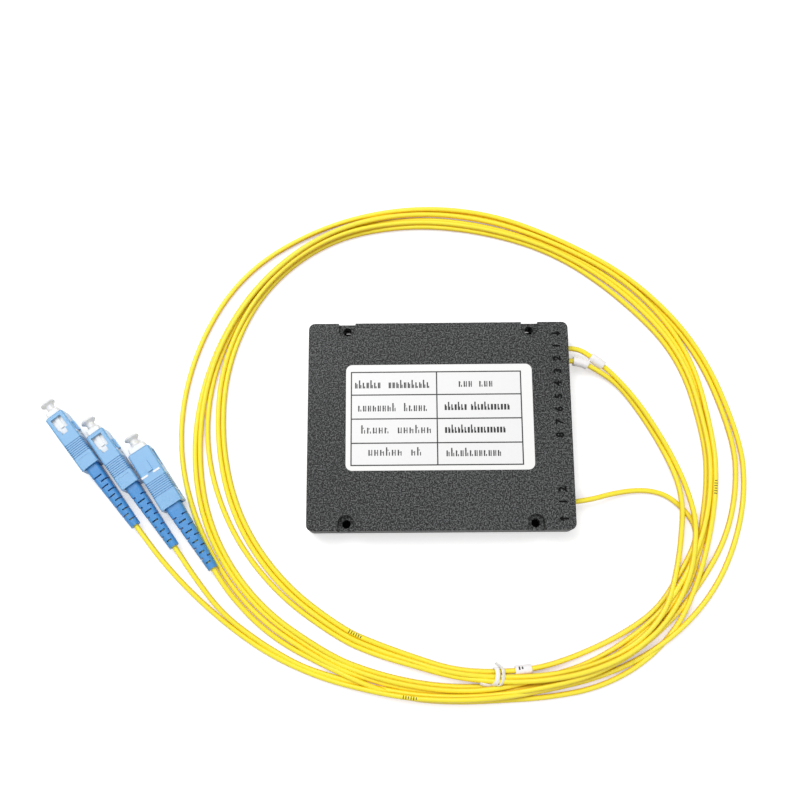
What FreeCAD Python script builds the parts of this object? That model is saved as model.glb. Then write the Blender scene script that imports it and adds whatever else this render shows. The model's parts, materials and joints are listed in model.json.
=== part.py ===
"""Fibre splitter: a flat box with one input and two output cords, coiled, each cord ending in a push-pull plug.

Frame: origin at the centre of the box's underside, +X to the side that the cords leave from, +Z up, millimetres.
A plug's own frame: origin at the centre of its outer housing's front edge, +X forward out of the plug, and its
key on +Z.
"""

import FreeCAD, Part
import math
import os

import Sketcher
from FreeCAD import Placement, Rotation, Vector

SIZES = {
    # box
    "box_length": 100.0,
    "box_width": 80.0,
    "box_height": 10.0,
    "corner_radius": 2.4,
    "edge_radius": 0.4,
    "wall": 1.8,
    "tray_height": 5.0,
    "tray_floor": 1.5,
    "lid_plate": 1.5,
    "fit_gap": 0.1,
    "tongue_depth": 1.0,
    "tongue_wall": 0.8,
    # fixing holes and their seats
    "hole_inset_x": 14.8,
    "hole_inset_y": 2.8,
    "hole_diameter": 3.3,
    "seat_radius": 3.2,
    "seat_depth": 2.6,
    "post_wall": 1.2,
    # ports
    "port_pitch": 5.0,
    "output_inset": 9.7,
    "input_inset": 10.3,
    "port_play": 0.2,
    "comb_wall": 1.2,
    "comb_inset": 4.4,
    # label
    "label_length": 70.9,
    "label_width": 40.8,
    "label_radius": 2.4,
    "label_thickness": 0.15,
    "label_middle": 2.8,
    # splitter module
    "module_length": 40.0,
    "module_width": 4.0,
    "module_shift": 0.0,
    "module_edge": 0.4,
    "boot_length": 2.0,
    "cradle_height": 2.6,
    "cradle_wall": 1.0,
    "cradle_length": 3.0,
    # cords
    "cord_diameter": 2.0,
    "fibre_diameter": 0.9,
    "anchor_diameter": 3.2,
    "anchor_length": 5.0,
    "anchor_overlap": 2.8,
    "coil_layers": 2.0,
    "marker_diameter": 3.4,
    "marker_bore": 2.6,
    "marker_length": 6.0,
    "tie_strip": 0.35,
    "tie_length": 3.0,
    "tie_width": 7.6,
    "tie_height": 2.5,
    "tie_radius": 1.0,
    "tie_lift": 1.65,
    "twist_diameter": 1.5,
    "twist_length": 7.0,
    # plug: outer housing
    "housing_length": 25.2,
    "housing_width": 9.0,
    "housing_height": 7.4,
    "housing_wall": 0.95,
    "housing_edge": 0.7,
    "nose_bevel": 0.6,
    "window_start": 1.7,
    "window_length": 5.4,
    "window_width": 4.2,
    "window_tail": 2.0,
    "window_near_step": 0.6,
    "window_far_step": 1.1,
    "rib_groove": 0.4,
    "rib_pitch": 0.84,
    "rib_depth": 0.3,
    "rib_start": 13.8,
    "key_start": 5.4,
    "key_length": 4.4,
    "key_width": 2.1,
    "key_rise": 0.7,
    "panel_start": 20.8,
    "panel_length": 2.6,
    "panel_width": 4.6,
    "panel_depth": 0.15,
    # plug: frame, ferrule and spring
    "slide_gap": 0.15,
    "frame_reach": 2.0,
    "frame_edge": 0.6,
    "mouth_diameter": 4.5,
    "mouth_depth": 7.0,
    "ledge": 1.0,
    "ledge_play": 0.2,
    "latch_start": 1.1,
    "latch_length": 9.2,
    "latch_width": 4.4,
    "latch_depth": 0.5,
    "rail_length": 4.6,
    "rail_width": 1.5,
    "ferrule_diameter": 2.5,
    "ferrule_reach": 0.9,
    "ferrule_chamfer": 0.4,
    "collar_diameter": 4.4,
    "collar_play": 0.15,
    "collar_length": 1.9,
    "collar_grip": 1.6,
    "barrel_diameter": 2.9,
    "barrel_length": 3.4,
    "fibre_bore": 1.0,
    "spring_wire": 0.4,
    "spring_turns": 4.0,
    "spring_length": 4.4,
    "spring_end_gap": 0.05,
    # plug: back post, crimp ring, boot and cap
    "post_plug": 3.7,
    "post_collar_diameter": 5.0,
    "post_collar": 1.2,
    "post_tube_diameter": 4.1,
    "post_tube": 7.8,
    "barrel_play": 0.15,
    "crimp_wall": 0.4,
    "crimp_length": 7.2,
    "boot_width": 6.5,
    "boot_height": 5.2,
    "boot_inside": 5.6,
    "boot_outside": 28.2,
    "boot_end_diameter": 3.8,
    "slot_gap": 0.6,
    "slot_pitch": 2.29,
    "slot_start": 4.6,
    "slot_reach": 1.4,
    "slot_back_reach": 0.4,
    "slot_middle": 1.6,
    "slot_side": 1.1,
    "slot_narrowing": 0.07,
    "boot_edge": 1.2,
    "boot_shoulder": 2.0,
    "cap_play": 0.2,
    "cap_sleeve": 5.0,
    "cap_base_diameter": 5.0,
    "cap_lip": 0.3,
    "cap_base": 1.1,
    "cap_neck_diameter": 3.3,
    "cap_neck": 1.9,
    "cap_head_diameter": 5.8,
    "cap_flare": 0.9,
    "cap_head": 1.9,
    "cap_dome": 0.45,
    "cap_end_gap": 0.4,
}
PORTS_OUT, PORTS_IN = 8, 2
RIB_GROOVES, BOOT_SLOTS = 8, 10

doc = FreeCAD.newDocument("fibre_splitter")
sheet = doc.addObject("Spreadsheet::Sheet", "Sizes")
for row, (name, number) in enumerate(SIZES.items(), start=1):
    sheet.set(f"A{row}", name)
    sheet.set(f"B{row}", str(number))
    sheet.setAlias(f"B{row}", name)
doc.recompute()
subparts = {}


# ---------------------------------------------------------------- expressions and sketches
def linked(text):
    """The expression with each of the sheet's names written as a reference to the sheet."""
    words = []
    for word in text.replace("(", " ( ").replace(")", " ) ").split():
        sign = "-" if word.startswith("-") and word[1:] in SIZES else ""
        bare = word[len(sign):]
        words.append(f"{sign}Sizes.{bare}" if bare in SIZES else word)
    return " ".join(words)


def value(text):
    """The number that an expression of the sheet's names has now."""
    return float(sheet.evalExpression(linked(text)))


def bind(thing, prop, text):
    """Tie a property to an expression of the sheet's names."""
    thing.setExpression(prop, linked(text))


def new_body(label):
    """A new body under its own label, ready for features."""
    body = doc.addObject("PartDesign::Body", label)
    body.Label = label
    subparts[label] = body
    return body


def new_sketch(body, plane, offset="0"):
    """A sketch on one of the body's own origin planes, moved along the plane's normal by an expression."""
    sketch = body.newObject("Sketcher::SketchObject", f"{body.Label}_sketch")
    support = next(f for f in body.Origin.OriginFeatures if f.Role == f"{plane}_Plane")
    sketch.AttachmentSupport = [(support, "")]
    sketch.MapMode = "FlatFace"
    if offset != "0":
        bind(sketch, "AttachmentOffset.Base.z", offset)
    return sketch


def pin(sketch, geometry, point, x, y):
    """Hold a point of the sketch at two expressions."""
    for kind, axis, text in (("DistanceX", -2, x), ("DistanceY", -1, y)):
        if text == "0":
            sketch.addConstraint(Sketcher.Constraint("PointOnObject", geometry, point, axis))
            continue
        held = sketch.addConstraint(Sketcher.Constraint(kind, -1, 1, geometry, point, value(text)))
        bind(sketch, f"Constraints[{held}]", text)


def polygon(sketch, corners):
    """A closed outline of straight lines; each corner is a pair of expressions."""
    points = [Vector(value(x), value(y), 0) for x, y in corners]
    first, count = sketch.GeometryCount, len(points)
    for i in range(count):
        sketch.addGeometry(Part.LineSegment(points[i], points[(i + 1) % count]))
    for i in range(count):
        following = first + (i + 1) % count
        sketch.addConstraint(Sketcher.Constraint("Coincident", first + i, 2, following, 1))
    for i, (x, y) in enumerate(corners):
        pin(sketch, first + i, 1, x, y)


def rectangle(sketch, low_x, low_y, high_x, high_y):
    """An upright rectangle between two corners."""
    polygon(sketch, [(low_x, low_y), (high_x, low_y), (high_x, high_y), (low_x, high_y)])


def circle(sketch, x, y, diameter):
    """A circle at two expressions."""
    at = sketch.addGeometry(Part.Circle(Vector(value(x), value(y), 0), Vector(0, 0, 1), value(diameter) / 2))
    pin(sketch, at, 3, x, y)
    held = sketch.addConstraint(Sketcher.Constraint("Diameter", at, value(diameter)))
    bind(sketch, f"Constraints[{held}]", diameter)


def rounded_rectangle(sketch, length, width, radius, middle="0"):
    """A rectangle with round corners, centred on x = 0 and y = middle."""
    half_x, half_y, r, y0 = value(length) / 2, value(width) / 2, value(radius), value(middle)
    first = sketch.GeometryCount
    ends = [(-half_x + r, -half_y, half_x - r, -half_y), (half_x, -half_y + r, half_x, half_y - r),
            (half_x - r, half_y, -half_x + r, half_y), (-half_x, half_y - r, -half_x, -half_y + r)]
    centres = [(half_x - r, -half_y + r), (half_x - r, half_y - r), (-half_x + r, half_y - r), (-half_x + r, -half_y + r)]
    for x1, y1, x2, y2 in ends:
        sketch.addGeometry(Part.LineSegment(Vector(x1, y1 + y0, 0), Vector(x2, y2 + y0, 0)))
    for i, (x, y) in enumerate(centres):
        round_corner = Part.Circle(Vector(x, y + y0, 0), Vector(0, 0, 1), r)
        start = (i - 1) * math.pi / 2
        sketch.addGeometry(Part.ArcOfCircle(round_corner, start, start + math.pi / 2))
    for i in range(4):
        line, corner, following = first + i, first + 4 + i, first + (i + 1) % 4
        sketch.addConstraint(Sketcher.Constraint("Tangent", line, 2, corner, 1))
        sketch.addConstraint(Sketcher.Constraint("Tangent", corner, 2, following, 1))
    for i, kind in enumerate(("Horizontal", "Vertical", "Horizontal")):
        sketch.addConstraint(Sketcher.Constraint(kind, first + i))
    for i in range(3):
        sketch.addConstraint(Sketcher.Constraint("Equal", first + 4 + i, first + 5 + i))
    held = sketch.addConstraint(Sketcher.Constraint("Radius", first + 4, r))
    bind(sketch, f"Constraints[{held}]", radius)
    pin(sketch, first + 4, 3, f"{length} / 2 - {radius}", f"{middle} - {width} / 2 + {radius}")
    pin(sketch, first + 6, 3, f"{radius} - {length} / 2", f"{middle} + {width} / 2 - {radius}")


# ---------------------------------------------------------------- features
def feature(body, kind, sketch, **bound):
    """A sketch's feature; each keyword is a property and its expression, or a plain value."""
    made = body.newObject(f"PartDesign::{kind}", f"{body.Label}_{kind.lower()}")
    made.Profile = sketch
    for prop, setting in bound.items():
        if isinstance(setting, str):
            bind(made, prop, setting)
        else:
            setattr(made, prop, setting)
    sketch.Visibility = False
    return made


def pad(body, sketch, length, **more):
    """Material from the sketch along its normal."""
    return feature(body, "Pad", sketch, Length=length, **more)


def pocket(body, sketch, length, **more):
    """A cut from the sketch against its normal."""
    return feature(body, "Pocket", sketch, Length=length, **more)


def through(body, sketch):
    """A cut both ways through everything."""
    made = feature(body, "Pocket", sketch)
    made.Type = "ThroughAll"
    made.Midplane = True
    return made


def turned(label, profile):
    """A body turned about its X axis from (x, radius) corners."""
    body = new_body(label)
    sketch = new_sketch(body, "XY")
    polygon(sketch, profile)
    feature(body, "Revolution", sketch, ReferenceAxis=(sketch, ["H_Axis"]), Angle=360.0)
    return body


def row_of(body, original, axis, spacing, count):
    """Repeat a feature along one of the body's axes, spacing apart."""
    pattern = body.newObject("PartDesign::LinearPattern", f"{body.Label}_row")
    pattern.Originals = [original]
    line = next(f for f in body.Origin.OriginFeatures if f.Role == f"{axis}_Axis")
    pattern.Direction = (line, [""])
    pattern.Reversed = True
    pattern.Mode = "Spacing"
    bind(pattern, "Offset", spacing)
    pattern.Occurrences = count
    body.Tip = pattern
    return pattern


def round_edges(body, radius, chosen):
    """Round the edges of the body's last feature that a test picks."""
    doc.recompute()
    base = body.Tip
    names = [f"Edge{i}" for i, edge in enumerate(base.Shape.Edges, start=1) if chosen(edge)]
    fillet = body.newObject("PartDesign::Fillet", f"{body.Label}_round")
    fillet.Base = (base, names)
    bind(fillet, "Radius", radius)
    return fillet


def at_height(z, slack=1e-4):
    """A test for edges that lie whole at one height."""
    return lambda edge: abs(edge.BoundBox.ZMin - z) < slack and abs(edge.BoundBox.ZMax - z) < slack


# ---------------------------------------------------------------- box
POST_HALF = "( seat_radius + post_wall )"
HOLE_X = "( box_length / 2 - hole_inset_x )"
HOLE_Y = "( box_width / 2 - hole_inset_y )"
FIRST_OUTPUT = "( box_width / 2 - output_inset )"
FIRST_INPUT = "( input_inset - box_width / 2 )"
PORT_LINES = {"output_1": FIRST_OUTPUT, "output_2": f"( {FIRST_OUTPUT} - port_pitch )", "input": FIRST_INPUT}
TONGUE_FOOT = "tray_height - tongue_depth"
CORNERS = [(side, end) for side in (-1, 1) for end in (-1, 1)]


def post_blocks(sketch):
    """The four blocks that carry the fixing holes, out to the middle of the long walls."""
    for side, end in CORNERS:
        near, far = f"{end} * ( {HOLE_Y} - {POST_HALF} )", f"{end} * ( box_width / 2 - wall )"
        low, high = (near, far) if end > 0 else (far, near)
        rectangle(sketch, f"{side} * {HOLE_X} - {POST_HALF}", low,
                  f"{side} * {HOLE_X} + {POST_HALF}", high)


def fixing_circles(sketch, diameter):
    """A circle at each of the four fixing holes."""
    for side, end in CORNERS:
        circle(sketch, f"{side} * {HOLE_X}", f"{end} * {HOLE_Y}", diameter)


def port_circles(sketch, diameter, z="tray_height"):
    """A circle at each port, from the first output and from the first input."""
    for port in range(PORTS_OUT):
        circle(sketch, f"{FIRST_OUTPUT} - {port} * port_pitch", z, diameter)
    for port in range(PORTS_IN):
        circle(sketch, f"{FIRST_INPUT} + {port} * port_pitch", z, diameter)


def make_tray():
    """The lower shell: floor, walls with a step for the lid's tongue, hole blocks, port comb and module cradle."""
    body = new_body("base_tray")
    outline = new_sketch(body, "XY")
    rounded_rectangle(outline, "box_length", "box_width", "corner_radius")
    pad(body, outline, "tray_height")
    round_edges(body, "edge_radius", at_height(0))
    cavity = new_sketch(body, "XY", "tray_height")
    rounded_rectangle(cavity, "( box_length - 2 * wall )", "( box_width - 2 * wall )", "( corner_radius - edge_radius )")
    pocket(body, cavity, "tray_height - tray_floor")
    blocks = new_sketch(body, "XY", "tray_floor / 2")
    post_blocks(blocks)
    pad(body, blocks, "tray_height - tray_floor / 2")
    step = new_sketch(body, "XY", "tray_height")
    rounded_rectangle(step, "( box_length - 2 * wall + 2 * tongue_wall + 2 * fit_gap )",
                      "( box_width - 2 * wall + 2 * tongue_wall + 2 * fit_gap )", "corner_radius")
    pocket(body, step, "tongue_depth")
    comb = new_sketch(body, "XY", "tray_floor / 2")
    rectangle(comb, "box_length / 2 - comb_inset - comb_wall", f"{FIRST_INPUT} - port_pitch / 2",
              "box_length / 2 - comb_inset", f"{FIRST_OUTPUT} + port_pitch / 2")
    pad(body, comb, "tray_height - fit_gap - tray_floor / 2")
    seats = new_sketch(body, "YZ", "box_length / 2 - comb_inset + fit_gap")
    port_circles(seats, "( anchor_diameter + fit_gap )")
    pocket(body, seats, "comb_wall + 2 * fit_gap")
    cradle = new_sketch(body, "XY", "tray_floor / 2")
    for end in (-1, 1):
        middle = f"module_shift + {end} * ( module_length / 2 - cradle_length )"
        for side in (-1, 1):
            near, far = f"{side} * ( module_width / 2 + fit_gap )", f"{side} * ( module_width / 2 + fit_gap + cradle_wall )"
            low, high = (near, far) if side > 0 else (far, near)
            rectangle(cradle, f"{middle} - cradle_length / 2", low, f"{middle} + cradle_length / 2", high)
    pad(body, cradle, "tray_floor / 2 + cradle_height")
    holes = new_sketch(body, "XY")
    fixing_circles(holes, "hole_diameter")
    through(body, holes)
    ports = new_sketch(body, "YZ", "box_length / 2 + fit_gap")
    port_circles(ports, "( cord_diameter + port_play )")
    pocket(body, ports, "wall + 2 * fit_gap")


def make_cover():
    """The upper shell: plate, walls, tongue, hole blocks, and a lowered seat at each hole, open to the long edge."""
    body = new_body("top_cover")
    outline = new_sketch(body, "XY", "tray_height")
    rounded_rectangle(outline, "box_length", "box_width", "corner_radius")
    pad(body, outline, "box_height - tray_height")
    round_edges(body, "edge_radius", at_height(value("box_height")))
    cavity = new_sketch(body, "XY", "tray_height")
    rounded_rectangle(cavity, "( box_length - 2 * wall )", "( box_width - 2 * wall )", "( corner_radius - edge_radius )")
    pocket(body, cavity, "box_height - tray_height - lid_plate", Reversed=True)
    tongue = new_sketch(body, "XY", f"{TONGUE_FOOT} + fit_gap")
    rounded_rectangle(tongue, "( box_length - 2 * wall + 2 * tongue_wall )",
                      "( box_width - 2 * wall + 2 * tongue_wall )", "( corner_radius - fit_gap )")
    rounded_rectangle(tongue, "( box_length - 2 * wall )", "( box_width - 2 * wall )", "( corner_radius - edge_radius )")
    pad(body, tongue, "tongue_depth + tongue_wall")
    blocks = new_sketch(body, "XY", f"{TONGUE_FOOT} + fit_gap")
    post_blocks(blocks)
    pad(body, blocks, f"box_height - lid_plate / 2 - ( {TONGUE_FOOT} + fit_gap )")
    for shape in ("round", "open"):
        seat = new_sketch(body, "XY", "box_height")
        if shape == "round":
            fixing_circles(seat, "( 2 * seat_radius )")
        else:
            for side, end in CORNERS:
                near, far = f"{end} * {HOLE_Y}", f"{end} * ( box_width / 2 + seat_radius )"
                low, high = (near, far) if end > 0 else (far, near)
                rectangle(seat, f"{side} * {HOLE_X} - seat_radius", low,
                          f"{side} * {HOLE_X} + seat_radius", high)
        pocket(body, seat, "seat_depth")
    holes = new_sketch(body, "XY")
    fixing_circles(holes, "hole_diameter")
    through(body, holes)
    ports = new_sketch(body, "YZ", "box_length / 2 + fit_gap")
    port_circles(ports, "( cord_diameter + port_play )")
    pocket(body, ports, "wall + 2 * fit_gap")


def make_label():
    """The self-adhesive label on the cover."""
    body = new_body("label")
    outline = new_sketch(body, "XY", "box_height")
    rounded_rectangle(outline, "label_length", "label_width", "label_radius", "label_middle")
    pad(body, outline, "label_thickness")


MODULE_HEIGHT = "( tray_floor + fit_gap + module_width / 2 )"


def make_module():
    """The splitter chip's metal case and the two soft end boots that the fibres leave through."""
    body = new_body("splitter_module")
    section = new_sketch(body, "YZ", "module_shift - module_length / 2")
    rounded_rectangle(section, "module_width", "module_width", "module_edge", MODULE_HEIGHT)
    pad(body, section, "module_length")
    for label, end, bore in (("module_input_boot", -1, "fibre_bore / 2"),
                             ("module_output_boot", 1, "fibre_diameter + fit_gap / 2")):
        boot = turned(label, [("0", bore), ("boot_length", bore),
                              ("boot_length", "module_width / 2 - 2 * module_edge"),
                              ("0", "module_width / 2 - module_edge")])
        start = Vector(value(f"module_shift + {end} * module_length / 2"), 0, value(MODULE_HEIGHT))
        boot.Placement = Placement(start, Rotation(Vector(0, 0, 1), 0 if end > 0 else 180))


def make_anchors():
    """The collars that hold each cord's end behind its port."""
    for name, y in PORT_LINES.items():
        collar = turned(f"{name}_anchor", [
            ("0", "fibre_bore / 2"), ("anchor_length - anchor_overlap", "fibre_bore / 2"),
            ("anchor_length - anchor_overlap", "cord_diameter / 2 + fit_gap / 2"),
            ("anchor_length", "cord_diameter / 2 + fit_gap / 2"),
            ("anchor_length", "anchor_diameter / 2"), ("0", "anchor_diameter / 2")])
        front = value("box_length / 2 - wall - fit_gap - anchor_length")
        collar.Placement = Placement(Vector(front, value(y), value("tray_height")), Rotation())


# ---------------------------------------------------------------- plugs
# Each plug: the cord it ends, the middle of its housing's front edge on the floor, its heading and its roll.
PLUGS = [
    ("output_1", (-147.5, 5.2), 128.1, 90.0),
    ("output_2", (-131.46, -1.82), 126.5, 90.0),
    ("input", (-114.83, -8.55), 123.9, 0.0),
]
INNER_WIDTH = "( housing_width - 2 * housing_wall )"
INNER_HEIGHT = "( housing_height - 2 * housing_wall )"
FRAME_WIDTH = f"( {INNER_WIDTH} - 2 * slide_gap )"
FRAME_HEIGHT = f"( {INNER_HEIGHT} - 2 * slide_gap )"
LEDGE_BORE = "( ferrule_diameter + 2 * ledge_play )"
FRAME_BORE = "( collar_diameter + 2 * collar_play )"
LEDGE_BACK = "( frame_reach - mouth_depth - ledge )"
COLLAR_BACK = f"( {LEDGE_BACK} - collar_length )"
SPRING_BACK = f"( {COLLAR_BACK} - spring_length )"
FRAME_BACK = f"( {SPRING_BACK} - post_plug )"
POST_END = f"( {FRAME_BACK} - post_collar - post_tube )"
BOOT_FRONT = "( boot_inside - housing_length )"
BOOT_BACK = "( -housing_length - boot_outside )"
# The two kinds of slot across each boot: spans that narrow from slot to slot as the boot does.
OUTSIDE = "housing_width"
TURNS = ([(f"-{OUTSIDE}", "slot_reach - {slot} * slot_narrowing")],
         [("-slot_back_reach", OUTSIDE)])
PAIRS = ([(f"-{OUTSIDE}", "-slot_side + {slot} * slot_narrowing / 2"),
          ("slot_side - {slot} * slot_narrowing / 2", OUTSIDE)],
         [("-slot_middle + {slot} * slot_narrowing", "slot_middle - {slot} * slot_narrowing")])
BOOT_CUTS = {"output_1": ("XZ", TURNS), "output_2": ("XZ", PAIRS), "input": ("XY", PAIRS)}


def section_at(body, x, length, width, height, radius):
    """Material with a round-cornered section from x forward along the plug."""
    sketch = new_sketch(body, "YZ", x)
    rounded_rectangle(sketch, width, height, radius)
    return pad(body, sketch, length)


def housing(name):
    """The outer shell that slides to unlatch: bevelled nose, stepped side windows, grip grooves, key and flared tail."""
    body = new_body(f"{name}_outer_housing")
    section_at(body, "-housing_length", "housing_length", "housing_width", "housing_height", "housing_edge")
    doc.recompute()
    block = body.Tip
    edges = [f"Edge{i}" for i, edge in enumerate(block.Shape.Edges, start=1) if abs(edge.BoundBox.XMin) < 1e-3]
    nose = body.newObject("PartDesign::Chamfer", f"{name}_nose")
    nose.Base = (block, edges)
    bind(nose, "Size", "nose_bevel")
    doc.recompute()
    waist = new_sketch(body, "YZ", "-rib_start")
    rounded_rectangle(waist, "( housing_width + 1 )", "( housing_height + 1 )", "housing_edge")
    rounded_rectangle(waist, "( housing_width - 2 * rib_depth )", "( housing_height - 2 * rib_depth )", "housing_edge")
    groove = pocket(body, waist, "rib_groove", Reversed=True)
    row_of(body, groove, "X", "rib_pitch", RIB_GROOVES)
    bore = new_sketch(body, "YZ", "nose_bevel")
    rounded_rectangle(bore, INNER_WIDTH, INNER_HEIGHT, "housing_edge / 2")
    pocket(body, bore, "housing_length + 2 * nose_bevel")
    windows = new_sketch(body, "XZ")
    step_x, far_x = "-window_start - window_length", "-window_start - window_length - window_tail"
    near_z, far_z = "-window_width / 2 + window_near_step", "window_width / 2 - window_far_step"
    polygon(windows, [("-window_start", "-window_width / 2"), ("-window_start", "window_width / 2"),
                      (step_x, "window_width / 2"), (step_x, far_z), (far_x, far_z), (far_x, near_z),
                      (step_x, near_z), (step_x, "-window_width / 2")])
    through(body, windows)
    for end in (-1, 1):
        panel = new_sketch(body, "XZ", f"{end} * ( housing_width / 2 - panel_depth )")
        rectangle(panel, "-panel_start - panel_length", "-panel_width / 2", "-panel_start", "panel_width / 2")
        pocket(body, panel, "2 * panel_depth", Reversed=end > 0)
    key = new_sketch(body, "XY", "housing_height / 2 - housing_wall / 2")
    rectangle(key, "-key_start - key_length", "-key_width / 2", "-key_start", "key_width / 2")
    pad(body, key, "housing_wall / 2 + key_rise")
    return body


def plug_frame(name):
    """The inner frame: the ferrule's mouth, ledge and spring bore, and a railed recess below each window."""
    body = new_body(f"{name}_plug_frame")
    section_at(body, FRAME_BACK, f"frame_reach - {FRAME_BACK}", FRAME_WIDTH, FRAME_HEIGHT, "frame_edge")
    bores = [(f"{FRAME_BACK} - 1", f"frame_reach - {FRAME_BACK} + 2", LEDGE_BORE),
             ("frame_reach - mouth_depth", "mouth_depth + 1", "mouth_diameter"),
             (f"{FRAME_BACK} - 1", f"{LEDGE_BACK} - {FRAME_BACK} + 1", FRAME_BORE)]
    for start, length, diameter in bores:
        sketch = new_sketch(body, "YZ", start)
        circle(sketch, "0", "0", diameter)
        pocket(body, sketch, length, Reversed=True)
    for end in (-1, 1):
        recess = new_sketch(body, "XZ", f"{end} * ( {FRAME_WIDTH} / 2 - latch_depth )")
        rectangle(recess, "-latch_start - latch_length", "-latch_width / 2", "-latch_start", "latch_width / 2")
        rectangle(recess, "-latch_start - rail_length - latch_depth", "-rail_width / 2",
                  "-latch_start - latch_depth", "rail_width / 2")
        pocket(body, recess, "2 * latch_depth", Reversed=end > 0)
    return body


def ferrule(name):
    """The bored pin that carries the fibre, with a bevelled tip, pressed into its collar."""
    tip, back = "ferrule_reach", f"{LEDGE_BACK} - collar_grip"
    return turned(f"{name}_ferrule", [
        (back, "fibre_bore / 4"), (tip, "fibre_bore / 4"), (tip, "ferrule_diameter / 2 - ferrule_chamfer"),
        (f"{tip} - ferrule_chamfer", "ferrule_diameter / 2"), (back, "ferrule_diameter / 2")])


def collar(name):
    """The metal collar behind the ledge, with the barrel that the spring sits round."""
    grip = f"{LEDGE_BACK} - collar_grip"
    end = f"{COLLAR_BACK} - barrel_length"
    return turned(f"{name}_ferrule_collar", [
        (end, "fibre_bore / 2"), (grip, "fibre_bore / 2"), (grip, "ferrule_diameter / 2"),
        (f"{LEDGE_BACK}", "ferrule_diameter / 2"), (f"{LEDGE_BACK}", "collar_diameter / 2"),
        (COLLAR_BACK, "collar_diameter / 2"), (COLLAR_BACK, "barrel_diameter / 2"), (end, "barrel_diameter / 2")])


def spring(name):
    """The open coil spring between the collar and the back post."""
    body = new_body(f"{name}_spring")
    wire = new_sketch(body, "XY")
    circle(wire, f"{SPRING_BACK} + spring_wire / 2 + spring_end_gap", f"( {FRAME_BORE} + barrel_diameter ) / 4",
           "spring_wire")
    helix = body.newObject("PartDesign::AdditiveHelix", f"{name}_spring_coil")
    helix.Profile = wire
    helix.ReferenceAxis = (wire, ["H_Axis"])
    helix.Mode = "height-turns-angle"
    bind(helix, "Height", "spring_length - spring_wire - 2 * spring_end_gap")
    bind(helix, "Turns", "spring_turns")
    wire.Visibility = False
    return body


def back_post(name):
    """The piece pressed into the frame's back: it stops the spring and carries the crimped tube."""
    collar_back = f"{FRAME_BACK} - post_collar"
    return turned(f"{name}_back_post", [
        (POST_END, "barrel_diameter / 2 + barrel_play"), (SPRING_BACK, "barrel_diameter / 2 + barrel_play"),
        (SPRING_BACK, f"{FRAME_BORE} / 2"), (FRAME_BACK, f"{FRAME_BORE} / 2"), (FRAME_BACK, "post_collar_diameter / 2"),
        (collar_back, "post_collar_diameter / 2"), (collar_back, "post_tube_diameter / 2"),
        (POST_END, "post_tube_diameter / 2")])


def crimp_ring(name):
    """The soft metal ring crimped round the post's tube."""
    collar_back = f"{FRAME_BACK} - post_collar"
    return turned(f"{name}_crimp_ring", [
        (f"{collar_back} - crimp_length", "post_tube_diameter / 2"), (collar_back, "post_tube_diameter / 2"),
        (collar_back, "post_tube_diameter / 2 + crimp_wall"),
        (f"{collar_back} - crimp_length", "post_tube_diameter / 2 + crimp_wall")])


def boot(name):
    """The soft bend relief: a tapered sleeve with cross slots of two kinds by turns."""
    body = new_body(f"{name}_boot")
    root = new_sketch(body, "YZ", BOOT_FRONT)
    rounded_rectangle(root, "boot_width", "boot_height", "boot_edge")
    shoulder = new_sketch(body, "YZ", "-housing_length - boot_shoulder")
    rounded_rectangle(shoulder, "( boot_width - 0.2 )", "boot_height", "boot_edge")
    end = new_sketch(body, "YZ", BOOT_BACK)
    rounded_rectangle(end, "boot_end_diameter", "boot_end_diameter", "( boot_end_diameter / 2 - 0.1 )")
    for near, far in ((root, shoulder), (shoulder, end)):
        stretch = body.newObject("PartDesign::AdditiveLoft", f"{name}_taper")
        stretch.Profile = near
        stretch.Sections = [far]
    wide = new_sketch(body, "YZ", SPRING_BACK)
    circle(wide, "0", "0", "( post_collar_diameter + fit_gap )")
    pocket(body, wide, f"{SPRING_BACK} - {POST_END} + fit_gap")
    narrow = new_sketch(body, "YZ", BOOT_FRONT)
    circle(narrow, "0", "0", "( cord_diameter + fit_gap )")
    pocket(body, narrow, "boot_inside + boot_outside + 1")
    plane, spans = BOOT_CUTS[name]
    for kind in (0, 1):
        slots = new_sketch(body, plane)
        for slot in range(kind, BOOT_SLOTS, 2):
            start = f"-housing_length - slot_start - {slot} * slot_pitch"
            for low, high in spans[kind]:
                rectangle(slots, f"{start} - slot_gap", low.format(slot=slot), start, high.format(slot=slot))
        through(body, slots)
    return body


def dust_cap(name):
    """The cap that covers the ferrule: a sleeve in the frame's mouth, a lip, a neck and a flared head to pull."""
    face, sleeve = "frame_reach", "mouth_diameter / 2 - cap_play"
    inner = "ferrule_diameter / 2 + fit_gap"
    head = f"{face} + cap_base + cap_neck"
    return turned(f"{name}_dust_cap", [
        (f"{face} - cap_sleeve", inner), ("ferrule_reach + cap_end_gap", inner), ("ferrule_reach + cap_end_gap", "0"),
        (f"{head} + cap_head", "0"), (f"{head} + cap_head", "cap_head_diameter / 2 - cap_dome"),
        (f"{head} + cap_head - cap_dome", "cap_head_diameter / 2"), (f"{head} + cap_flare", "cap_head_diameter / 2"),
        (head, "cap_neck_diameter / 2"), (f"{face} + cap_base", "cap_neck_diameter / 2"),
        (f"{face} + cap_lip", "cap_base_diameter / 2"), (face, "cap_base_diameter / 2"),
        (face, sleeve), (f"{face} - cap_sleeve", sleeve)])


def jacket_end(name):
    """The cord's straight last stretch, inside the boot."""
    return turned(f"{name}_jacket_end", [(BOOT_BACK, "0"), (f"{POST_END} - fit_gap", "0"),
                                         (f"{POST_END} - fit_gap", "cord_diameter / 2"),
                                         (BOOT_BACK, "cord_diameter / 2")])


def plug_placement(front, heading, roll):
    """Where a plug lies: on the face that its roll turns down, its front edge over a point of the floor."""
    half_height = value("housing_width" if roll else "housing_height") / 2
    turn = Rotation(Vector(0, 0, 1), heading).multiply(Rotation(Vector(1, 0, 0), roll))
    return Placement(Vector(front[0], front[1], half_height), turn)


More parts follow.
